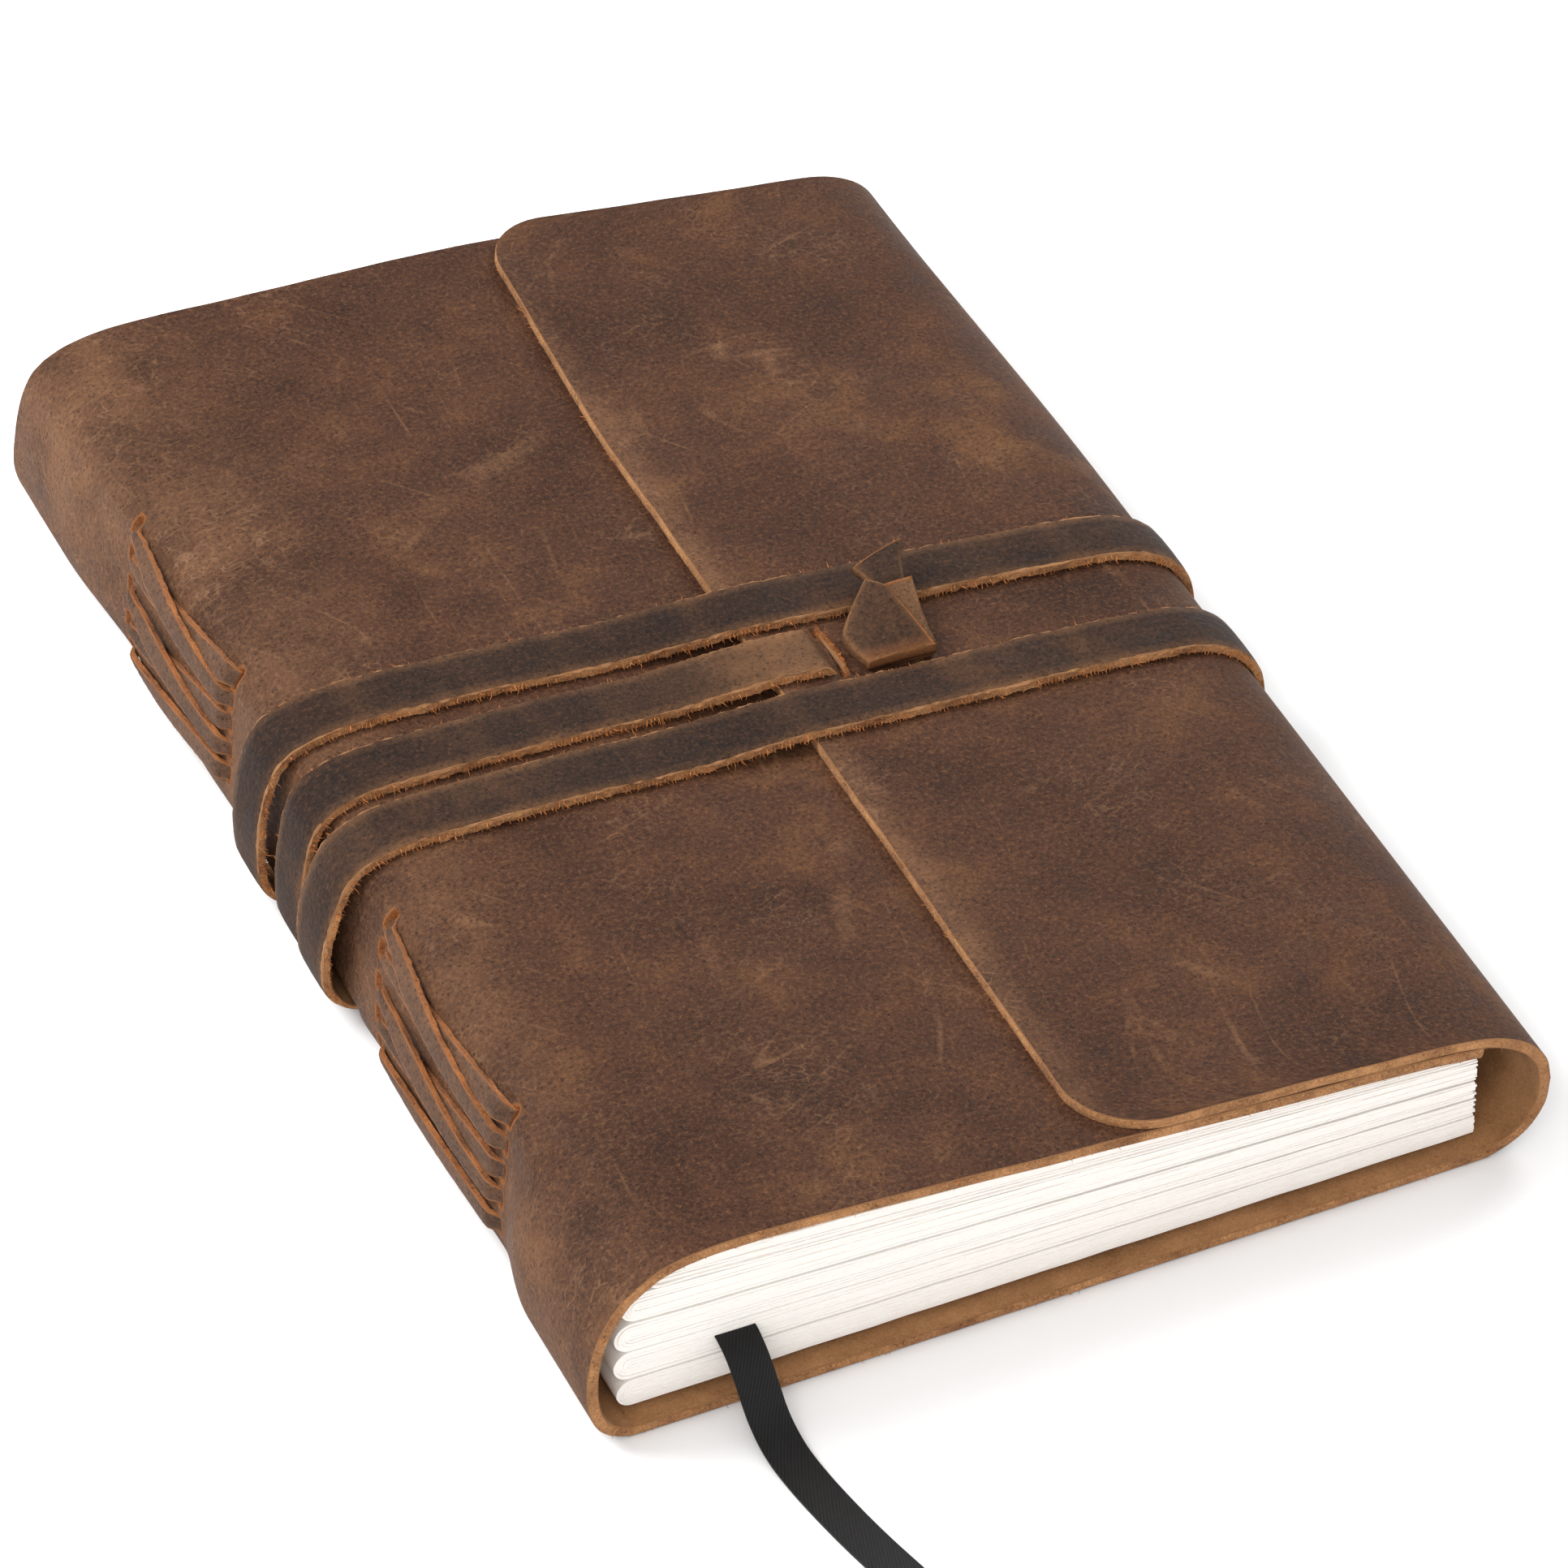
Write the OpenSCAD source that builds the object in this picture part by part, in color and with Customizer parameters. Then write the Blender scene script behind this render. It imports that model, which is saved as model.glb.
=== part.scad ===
// Leather notebook cover, closed and tied: one folded hide, five sewn signatures, spine lacing,
// a long tie strap with its stopper knot, and a ribbon marker.
// Millimetres. X runs from the spine (-) to the fore-edge (+), Y from the tail (-) to the head (+),
// Z up from the face that the cover lies on. The origin is under the middle of the cover.

/* [Cover] */
// Height of the cover, from tail to head
cover_h = 229; // [180:1:260]
// Width of the closed cover, from the spine to the fore-edge fold
cover_w = 150; // [130:1:180]
// Thickness of the closed cover at the spine
spine_t = 32; // [31:0.5:36]
// Thickness of the closed cover at the fore-edge fold, flap included
fore_t = 24.5; // [22:0.5:26]
// Thickness of the leather
leather_t = 1.7; // [1.2:0.1:2]
// Radius of the upper bend of the spine
spine_r = 14; // [12:0.5:16]
// Radius of the lower corner of the spine
corner_r = 6; // [4:0.5:8]
// How far the front cover crowns above a straight line
crown = 0.3; // [0:0.05:0.6]
// Place of the flap's free edge
flap_edge_x = 1; // [-10:1:8]
// Radius of the flap's corners
flap_corner_r = 12; // [6:1:20]
// Free space between pieces that move apart
gap = 0.15; // [0.1:0.01:0.25]

/* [Pages] */
// Height of the pages
page_h = 224; // [170:1:226]
// How far the pages stop short of the fore-edge fold
page_inset = 10.1; // [8:0.1:16]
// How each signature shares the thickness of the block, from the back
signature_share = [0.6, 1, 1.1, 1.15, 1.15];

/* [Lacing] */
// Width of a lacing thong
thong_w = 3.8; // [3:0.1:4.2]
// Thickness of a lacing thong
thong_t = 1.3; // [0.8:0.1:1.6]
// Y of the two ends of each group of stitches
stitch_groups = [["head", 29, 70], ["tail", -76, -30]];

/* [Strap] */
// Width of the tie strap
strap_w = 10; // [8:0.5:12]
// Thickness of the tie strap
strap_t = 2; // [1.5:0.1:2.4]
// Depth that the strap presses into the leather under the cover
press = 0.85; // [0.6:0.05:1]
// X of the slit that the strap goes down through
slit_a_x = 11.8; // [8:0.1:14]
// X of the slit where the strap comes up under its knot
slit_b_x = 21; // [20:0.1:22]

/* [Ribbon] */
// Width of the ribbon marker
ribbon_w = 6.2; // [5:0.1:7]
// Thickness of the ribbon marker
ribbon_t = 0.4; // [0.3:0.05:0.4]
// X of the ribbon where it leaves the pages
ribbon_x = -53; // [-58:1:-40]

/* [Hidden] */
half_w = cover_w / 2;
half_h = cover_h / 2;
loop_r = fore_t / 2;
loop_x = half_w - loop_r;
loop_z = loop_r;
bend_x = spine_r - half_w;
bend_z = spine_t - spine_r;
corner_x = corner_r - half_w;
// The front cover ends above the edge of the pages, clear of the fold
tip_x = half_w - 11;
// Half angle steps of the bends
bend_steps = 10;
// The spine ends and the fold of the front cover starts at this angle of the upper bend
fold_angle = 58;
// The fold of the front cover ends here
fold_x = bend_x + 11;
// Fall of the front cover from the spine to its free edge
front_fall = (spine_t - (fore_t - leather_t - gap)) / (loop_x - bend_x);
front_slope = atan(front_fall);
// Page block
page_bottom = 2.3;
page_nose_x = leather_t + 1.2 - half_w;
page_end_x = half_w - page_inset;
page_top_spine = spine_t - leather_t - 0.8;
page_top_fore = 20.2;
signatures = 5;
share_sum = signature_share[0] + signature_share[1] + signature_share[2] + signature_share[3]
    + signature_share[4];
page_gap = 0.06;
// The holes through a signature's fold sit this far above its middle
hole_lift = 0.6;
// A thong is pinched to this width where it passes through a hole
leg_w = 0.6 * thong_w;
hole_w = leg_w + 0.4;
hole_l = thong_t + 0.5;
// How deep a thong reaches into the fold of its signature
thong_reach = 6;
// Y limits of the band that the strap presses into
press_low = -23;
press_high = 19;
// Height up to which the strap presses into the spine
press_top = bend_z - 3;
// Y of the strap's middle where it crosses the spine and the fore-edge
strap_y_root = -2.6;
strap_y_spine = [-2.6, 12, -15.6];
strap_y_fore = [8.5, -15.6];
// The first back run lies inside the second where they cross
cross_low = -45;
cross_high = 10;
tuck_x = 20;
eps = 0.02;

brown = [0.29, 0.2, 0.15];
dark = [0.24, 0.18, 0.14];
tan = [0.6, 0.38, 0.22];
paper = [0.95, 0.94, 0.91];
black = [0.06, 0.06, 0.07];

// ---- outlines in the XZ plane

// Points of an arc from angle a to angle b, n steps
function arc(x, z, r, a, b, n) =
    [for (i = [0 : n]) let (t = a + (b - a) * i / n) [x + r * cos(t), z + r * sin(t)]];

// Height of the front cover's outer face at x
function front_z(x) =
    let (u = min(1, max(0, (x - bend_x) / (loop_x - bend_x))))
    spine_t - front_fall * (x - bend_x) + 4 * crown * u * (1 - u);

// Height of the flap's outer face at x
function flap_z(x) = front_z(x) + gap + leather_t;

// Points of a line over the front cover from x a to x b, lifted by up
function front_line(a, b, up, n) = [for (i = [0 : n]) let (x = a + (b - a) * i / n) [x, front_z(x) + up]];

// Height of boundary k between the signatures at x
function share_to(k) = k == 0 ? 0 : share_to(k - 1) + signature_share[k - 1] / share_sum;
function page_z(k, x) =
    let (u = (x - page_nose_x) / (page_end_x - page_nose_x),
        top = page_top_spine + (page_top_fore - page_top_spine) * u)
    page_bottom + (top - page_bottom) * share_to(k);

// Middle height of a signature at its fold, and the x of its nose
function nose_z(k) = (page_z(k - 1, page_nose_x) + page_z(k, page_nose_x)) / 2;
function nose_x(k) = k == signatures ? page_nose_x + 4.6 : k == signatures - 1 ? page_nose_x + 0.6 : page_nose_x;
function hole_z(k) = nose_z(k) + (k == 1 || k == signatures ? 0 : hole_lift);

// Outer face of the spine at height z: its x, and the tilt of its normal above level
function spine_x(z) =
    z > bend_z ? bend_x - sqrt(pow(spine_r, 2) - pow(z - bend_z, 2))
    : z < corner_r ? corner_x - sqrt(pow(corner_r, 2) - pow(corner_r - z, 2))
    : -half_w;
function spine_tilt(z) =
    z > bend_z ? asin((z - bend_z) / spine_r) : z < corner_r ? -asin((corner_r - z) / corner_r) : 0;

// An XZ outline stood up along Y from y a to y b
module along_y(a, b) {
    translate([0, b, 0]) rotate([90, 0, 0]) linear_extrude(height = b - a) children();
}

// ---- the hide

module spine_outline(inset) {
    polygon(concat(
        arc(corner_x, corner_r, corner_r - inset, 270, 180, bend_steps),
        arc(bend_x, bend_z, spine_r - inset, 180, 180 - fold_angle, bend_steps),
        arc(bend_x, bend_z, spine_r - leather_t, 180 - fold_angle, 180, bend_steps),
        arc(corner_x, corner_r, corner_r - leather_t, 180, 270, bend_steps)));
}

// The holes that each thong passes through
module stitch_holes() {
    for (g = stitch_groups)
        for (k = [1 : signatures])
            for (y = [g[1], g[2]])
                translate([-half_w - 3, y - hole_l / 2, hole_z(k) - hole_w / 2]) cube([16, hole_l, hole_w]);
}

module spine() {
    color(brown)
    difference() {
        union() {
            along_y(-half_h, press_low) spine_outline(0);
            along_y(press_low, press_high) spine_pressed();
            along_y(press_high, half_h) spine_outline(0);
        }
        stitch_holes();
    }
}

// The lower part of the spine is pressed in under the strap
module spine_pressed() {
    difference() {
        spine_outline(0);
        polygon(concat(
            arc(corner_x, corner_r, corner_r - press, 270, 180, bend_steps),
            [[press - half_w, press_top], [-half_w - 1, press_top], [-half_w - 1, -1], [corner_x, -1]]));
    }
}

module back_cover() {
    color(brown)
    difference() {
        translate([corner_x, -half_h, 0]) cube([loop_x - corner_x, cover_h, leather_t]);
        translate([corner_x - 1, press_low, -1]) cube([loop_x - corner_x + 2, press_high - press_low, 1 + press]);
    }
}

module fold_outline(inset) {
    polygon(concat(
        arc(loop_x, loop_z, loop_r - inset, 270, 360, bend_steps),
        arc(loop_x, loop_z, loop_r - leather_t, 360, 270, bend_steps)));
}

module fore_edge_fold() {
    color(brown)
    union() {
        along_y(-half_h, press_low) fold_outline(0);
        along_y(press_low, press_high) fold_outline(press);
        along_y(press_high, half_h) fold_outline(0);
    }
}

module front_fold() {
    color(brown)
    along_y(-half_h, half_h)
    polygon(concat(
        arc(bend_x, bend_z, spine_r, 180 - fold_angle, 90, bend_steps),
        front_line(bend_x + 1, fold_x, 0, 3),
        front_line(fold_x, bend_x + 1, -leather_t, 3),
        arc(bend_x, bend_z, spine_r - leather_t, 90, 180 - fold_angle, bend_steps)));
}

// The hollow that the strap's root lies in, between the flap and the front cover
module root_hollow() {
    translate([slit_a_x, strap_y_root, front_z(slit_a_x) + gap / 2])
    rotate([0, front_slope, 0])
    translate([-1.2, -strap_w / 2 - 0.4, -0.6])
    cube([slit_b_x - slit_a_x + 3, strap_w + 0.8, 1.2]);
}

module front_cover() {
    color(brown)
    difference() {
        along_y(-half_h, half_h)
        polygon(concat(front_line(fold_x, tip_x, 0, 8), front_line(tip_x, fold_x, -leather_t, 8)));
        root_hollow();
    }
}

// The flap seen from above, with its round corners
module flap_plan() {
    x = flap_edge_x;
    r = flap_corner_r;
    polygon(concat(
        [[half_w + 1, -half_h], [half_w + 1, half_h]],
        [for (p = arc(x + r, half_h - r, r, 90, 180, 8)) p],
        [for (p = arc(x + r, r - half_h, r, 180, 270, 8)) p]));
}

module flap() {
    color(brown)
    difference() {
        intersection() {
            along_y(-half_h, half_h)
            polygon(concat(
                arc(loop_x, loop_z, loop_r, 0, 90, bend_steps),
                front_line(loop_x - 1, flap_edge_x, gap + leather_t, 8),
                front_line(flap_edge_x, loop_x - 1, gap, 8),
                arc(loop_x, loop_z, loop_r - leather_t, 90, 0, bend_steps)));
            linear_extrude(height = spine_t + 10) flap_plan();
        }
        root_hollow();
        for (x = [slit_a_x, slit_b_x])
            translate([x - 0.2, strap_y_root - strap_w / 2 - 0.4, front_z(x) - 2])
            cube([1.7, strap_w + 0.8, 8]);
    }
}

// ---- the pages

// One folded signature: a round nose at the spine and flat faces to the fore-edge
module signature(k) {
    x = nose_x(k);
    r = (page_z(k, x + 2) - page_z(k - 1, x + 2)) / 2 - page_gap;
    z = (page_z(k, x + 2) + page_z(k - 1, x + 2)) / 2;
    color(paper)
    difference() {
        along_y(-page_h / 2, page_h / 2)
        polygon(concat(
            arc(x + r, z, r, 255, 105, 9),
            [[page_end_x, page_z(k, page_end_x) - page_gap], [page_end_x, page_z(k - 1, page_end_x) + page_gap]]));
        for (g = stitch_groups) {
            for (y = [g[1], g[2]])
                translate([x - 5, y - hole_l / 2, hole_z(k) - hole_w / 2])
                cube([5 + thong_reach, hole_l, hole_w]);
            translate([x + thong_reach - 3, g[1], hole_z(k) - thong_t / 2 - 0.1])
            cube([3, g[2] - g[1], thong_t + 0.2]);
        }
        if (k == 3)
            translate([ribbon_x - ribbon_w / 2 - 0.4, -page_h / 2 - 1, ribbon_z - ribbon_t])
            cube([ribbon_w + 0.8, page_h - 3, 2 * ribbon_t]);
    }
}

// ---- the lacing: each thong runs outside, through both holes, and back inside the fold

module thong(g, k) {
    z = hole_z(k);
    inner = nose_x(k) + thong_reach - 0.3;
    color(dark)
    union() {
        translate([spine_x(z), g[1] - thong_t / 2, z])
        rotate([0, spine_tilt(z), 0])
        translate([-thong_t - 0.4, 0, -thong_w / 2])
        cube([thong_t, g[2] - g[1] + thong_t, thong_w]);
        for (y = [g[1], g[2]])
            translate([spine_x(z) - 0.8, y - thong_t / 2, z - leg_w / 2])
            cube([inner - spine_x(z) + 0.8, thong_t, leg_w]);
        translate([inner - 2.2, g[1], z - thong_t / 2]) cube([2.2, g[2] - g[1], thong_t]);
    }
}

// ---- the strap

// One station of the strap: its inner face's point, the outward normal, y, thickness
function station(p, angle, y, off, t) = [p[0] + off * cos(angle), p[1] + off * sin(angle), angle, y, t];
function blend(a, b, u) = a + (b - a) * min(1, max(0, u));

// Over the front from x a to x b: the strap steps down from the flap to the front cover
function over_front(a, b, ya, yb, n) =
    [for (i = [0 : n])
        let (x = a + (b - a) * i / n,
            on_flap = blend(0, 1, (x - flap_edge_x + 4) / 3.5),
            z = front_z(x) + on_flap * (gap + leather_t))
        station([x, z], 90, blend(ya, yb, i / n), gap, strap_t)];

// Round the spine, from the top down to the back
function round_spine(y) = concat(
    [for (a = [100 : 10 : 180]) station([bend_x + spine_r * cos(a), bend_z + spine_r * sin(a)], a, y, gap, strap_t)],
    [for (q = [[press_top - 0.1, 0], [press_top - 5, 0.5], [corner_r, 1]])
        station([-half_w, q[0]], 180, y, blend(gap, gap - press, q[1]), strap_t)],
    [for (a = [195 : 15 : 270])
        station([corner_x + corner_r * cos(a), corner_r + corner_r * sin(a)], a, y, gap - press,
            blend(strap_t, press - gap - eps, (a - 180) / 50))]);

// Under the back from the spine to x b; layer 1 runs inside the other where they cross
function under_back(ya, yb, b, layer) =
    let (full = press - gap - eps, thin = full / 2 - eps)
    [for (i = [1 : 12])
        let (x = blend(corner_x, b, i / 12),
            crossed = layer > 0 && x > cross_low - 14 && x < cross_high + 14,
            lift = crossed && layer == 2 ? full / 2 + eps : 0)
        [x, press - gap - lift, 270, blend(ya, yb, (x - corner_x) / (loop_x - corner_x)), crossed ? thin : full]];

// Round the fore-edge fold, from the back up to the flap
function round_fore(y) = concat(
    [for (a = [285 : 15 : 345])
        station([loop_x + loop_r * cos(a), loop_z + loop_r * sin(a)], a, y, gap - press,
            blend(press - gap - eps, strap_t, (a - 270) / 40))],
    [for (a = [360 : 12 : 444])
        station([loop_x + loop_r * cos(a), loop_z + loop_r * sin(a)], a, y, gap, strap_t)]);

strap_route = concat(
    over_front(slit_a_x - 0.4, bend_x, strap_y_root, strap_y_spine[0], 14),
    round_spine(strap_y_spine[0]),
    under_back(strap_y_spine[0], strap_y_fore[0], loop_x, 1),
    round_fore(strap_y_fore[0]),
    over_front(loop_x, bend_x, strap_y_fore[0], strap_y_spine[1], 28),
    round_spine(strap_y_spine[1]),
    under_back(strap_y_spine[1], strap_y_fore[1], loop_x, 2),
    round_fore(strap_y_fore[1]),
    over_front(loop_x, bend_x, strap_y_fore[1], strap_y_spine[2], 28),
    round_spine(strap_y_spine[2]),
    under_back(strap_y_spine[2], strap_y_spine[2] - 1, tuck_x, 0));

// A closed band swept over stations that hold a point, an angle, y and a thickness
module band(route, w) {
    n = len(route);
    points = [for (s = route)
        let (c = cos(s[2]), d = sin(s[2]))
        for (q = [[0, -1], [0, 1], [s[4], 1], [s[4], -1]])
            [s[0] + q[0] * c, s[3] + q[1] * w / 2, s[1] + q[0] * d]];
    sides = [for (i = [0 : n - 2]) for (j = [0 : 3])
        let (a = 4 * i + j, b = 4 * i + (j + 1) % 4)
        each [[a, b, b + 4], [a, b + 4, a + 4]]];
    ends = [[3, 2, 1, 0], [for (j = [0 : 3]) 4 * (n - 1) + j]];
    polyhedron(points = points, faces = concat(sides, ends), convexity = 8);
}

module strap_wound() {
    color(dark) band(strap_route, strap_w);
}

// The strap goes down through one slit, under the flap, and up through the other to its knot
module strap_root() {
    w = strap_w;
    y = strap_y_root - w / 2;
    color(dark)
    union() {
        translate([slit_a_x, y, front_z(slit_a_x) + gap / 2])
        rotate([0, front_slope, 0])
        translate([0, 0, -0.45])
        cube([slit_b_x - slit_a_x + 1, w, 0.9]);
        translate([slit_a_x, y, front_z(slit_a_x)]) cube([1.2, w, leather_t + 2 * gap + strap_t]);
        translate([slit_b_x, y, front_z(slit_b_x)]) cube([1.2, w, leather_t + 2.4 * gap]);
    }
}

// A layer of the knot: an outline in plan, from height a to height b over the flap
module knot_layer(plan, a, b) {
    translate([0, 0, flap_z(slit_b_x) + a]) linear_extrude(height = b - a) polygon(plan);
}

// A folded stopper knot of three layers, with its short end flared over the upper turn
module strap_knot() {
    color(dark)
    union() {
        knot_layer([[14.2, -4], [15, -9.4], [25.2, -9.4], [28.2, 2.6], [20, 2.6]], 0.7, 2.9);
        knot_layer([[13.8, -5], [14.4, -12], [24.8, -12], [28.8, 4], [22, 7]], 2.9, 5.4);
        knot_layer([[14.6, -5.4], [15.4, -11.2], [24.2, -11.2], [27.4, 3], [22.4, 6]], 5.4, 7.6);
        knot_layer([[22.2, 5], [20.2, 10], [30.2, 14.2], [31, 10.6], [27.8, 3.4]], 2.9, 5.2);
    }
}

// ---- the ribbon marker

ribbon_z = page_z(2, ribbon_x) + 0.35;
// Route of the free end: x, y and z of its middle
ribbon_free = [
    [ribbon_x, -page_h / 2, ribbon_z], [-53, -113.5, 10.6], [-52.9, -115.5, 9.4], [-52.8, -117.5, 7.6],
    [-52.7, -119.5, 5.4], [-52.6, -121.5, 3.4], [-52.4, -124, 1.7], [-52.2, -127, 0.8], [-51.9, -130, 0.4],
    [-51.4, -134, 0.25], [-50.8, -138, 0.25], [-50.1, -142, 0.25], [-49.3, -146, 0.25], [-48.4, -150, 0.25],
    [-47.4, -154, 0.25], [-46.4, -158, 0.25], [-45.4, -162, 0.25]];

module ribbon_inside() {
    color(black)
    translate([ribbon_x - ribbon_w / 2, -page_h / 2, ribbon_z - ribbon_t / 2])
    cube([ribbon_w, page_h - 8, ribbon_t]);
}

// A flat band with bevelled edges, eight sides, one ring at each point of the route
module ribbon_marker() {
    n = len(ribbon_free);
    w = ribbon_w / 2;
    t = ribbon_t / 2;
    ring = [[w, -t / 2], [w, t / 2], [0.9 * w, t], [-0.9 * w, t], [-w, t / 2], [-w, -t / 2], [-0.9 * w, -t],
        [0.9 * w, -t]];
    points = [for (i = [0 : n - 1])
        let (ahead = ribbon_free[min(i + 1, n - 1)] - ribbon_free[max(i - 1, 0)],
            side = i == 0 ? [1, 0, 0] : [-ahead[1], ahead[0], 0] / norm([ahead[0], ahead[1]]),
            up = i == 0 ? [0, 0, 1] : cross(ahead, side) / norm(ahead))
        for (q = ring) ribbon_free[i] + q[0] * side + q[1] * up];
    sides = [for (i = [0 : n - 2]) for (j = [0 : 7])
        let (a = 8 * i + j, b = 8 * i + (j + 1) % 8)
        each [[b, a, a + 8], [b, a + 8, b + 8]]];
    ends = [[for (j = [0 : 7]) j], [for (j = [7 : -1 : 0]) 8 * (n - 1) + j]];
    color(black) polyhedron(points = points, faces = concat(sides, ends), convexity = 4);
}

back_cover();
fore_edge_fold();
spine();
front_fold();
front_cover();
flap();
for (k = [1 : signatures])
    signature(k);
for (g = stitch_groups)
    for (k = [1 : signatures])
        thong(g, k);
strap_root();
strap_knot();
strap_wound();
ribbon_inside();
ribbon_marker();
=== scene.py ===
import math

import bmesh
import bpy
import numpy as np
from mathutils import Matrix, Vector, noise


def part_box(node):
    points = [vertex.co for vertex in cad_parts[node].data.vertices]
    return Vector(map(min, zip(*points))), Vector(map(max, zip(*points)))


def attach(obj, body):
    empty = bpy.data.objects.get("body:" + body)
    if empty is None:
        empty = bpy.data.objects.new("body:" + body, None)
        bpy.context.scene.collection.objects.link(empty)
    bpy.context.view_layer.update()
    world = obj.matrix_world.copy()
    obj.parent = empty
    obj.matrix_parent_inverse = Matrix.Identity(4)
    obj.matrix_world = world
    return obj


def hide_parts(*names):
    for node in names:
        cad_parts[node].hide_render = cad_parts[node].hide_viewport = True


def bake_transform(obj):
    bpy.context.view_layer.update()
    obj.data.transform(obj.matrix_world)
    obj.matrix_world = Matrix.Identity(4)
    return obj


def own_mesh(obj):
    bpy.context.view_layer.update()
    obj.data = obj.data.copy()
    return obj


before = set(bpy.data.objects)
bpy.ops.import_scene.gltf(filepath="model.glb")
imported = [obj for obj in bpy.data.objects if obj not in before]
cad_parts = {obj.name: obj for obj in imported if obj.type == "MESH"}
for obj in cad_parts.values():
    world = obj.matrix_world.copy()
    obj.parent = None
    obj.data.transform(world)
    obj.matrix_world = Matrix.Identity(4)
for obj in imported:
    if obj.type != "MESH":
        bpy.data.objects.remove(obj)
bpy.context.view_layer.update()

scene = bpy.context.scene
rng = np.random.default_rng(7)

# Lengths below are millimetres; meshes are scaled to metres as they are made.
MM = 0.001
HALF_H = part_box("back_cover")[1].y / MM
PAGE_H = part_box("signature_1")[1].y / MM
FORE_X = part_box("fore_edge_fold")[1].x / MM
LEATHER_T = 1.8
STRAP_W = 10.0
STRAP_T = 1.55
THONG_W = 3.8
# The strap presses the hide in by this much where it runs under the book, between these two Y
PRESS = 0.85
PRESS_LOW, PRESS_HIGH = -23.0, 19.0
# How much flatter the head end is, and how far its fore-edge corner is drawn in along X and Y
HEAD_FLATTER = 0.075
HEAD_IN_X, HEAD_IN_Y = 1.0, 1.6
# The materials of a leather piece, in the order of its slots
GRAIN, FLESH, CUT = 0, 1, 2


# ---- camera, light and floor

def place(name, data, location, direction):
    """An object for a camera or a light, which looks along direction."""
    made = bpy.data.objects.new(name, data)
    made.location = location
    made.rotation_euler = direction.to_track_quat("-Z", "Y").to_euler()
    scene.collection.objects.link(made)
    return made


def make_camera():
    """The camera that was solved on the photo."""
    heading, pitch = math.radians(24.5692), math.radians(41.1722)
    look = Vector((math.sin(heading) * math.cos(pitch), math.cos(heading) * math.cos(pitch), -math.sin(pitch)))
    data = bpy.data.cameras.new("camera")
    data.lens = 195.652
    data.sensor_width = 36
    data.clip_start = 0.05
    scene.camera = place("camera", data, (-0.399634, -0.886174, 0.854937), look)


def make_light(name, location, aim, size, watts):
    data = bpy.data.lights.new(name, "AREA")
    data.size = size
    data.energy = watts
    place(name, data, location, Vector(aim) - Vector(location))


def make_stage():
    world = bpy.data.worlds.new("studio")
    world.use_nodes = True
    background = world.node_tree.nodes["Background"].inputs
    background["Color"].default_value = (1, 1, 1, 1)
    background["Strength"].default_value = 0.75
    scene.world = world
    scene.view_settings.view_transform = "Standard"
    make_light("key", (-0.55, 0.35, 0.75), (-0.02, 0, 0.02), 0.5, 9.0)
    make_light("fill", (-0.5, -0.9, 0.7), (0, 0, 0.02), 0.8, 6.0)
    make_light("rim", (0.7, 0.5, 0.6), (0, 0, 0.02), 0.5, 4.0)
    bpy.ops.mesh.primitive_plane_add(size=6, location=(0, 0, -0.0002))
    floor = bpy.context.object
    floor.name = "floor"
    mat = bpy.data.materials.new("floor")
    mat.use_nodes = True
    surface = mat.node_tree.nodes["Principled BSDF"].inputs
    surface["Base Color"].default_value = (0.93, 0.93, 0.93, 1)
    surface["Roughness"].default_value = 0.8
    floor.data.materials.append(mat)


# ---- shader helpers

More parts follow.
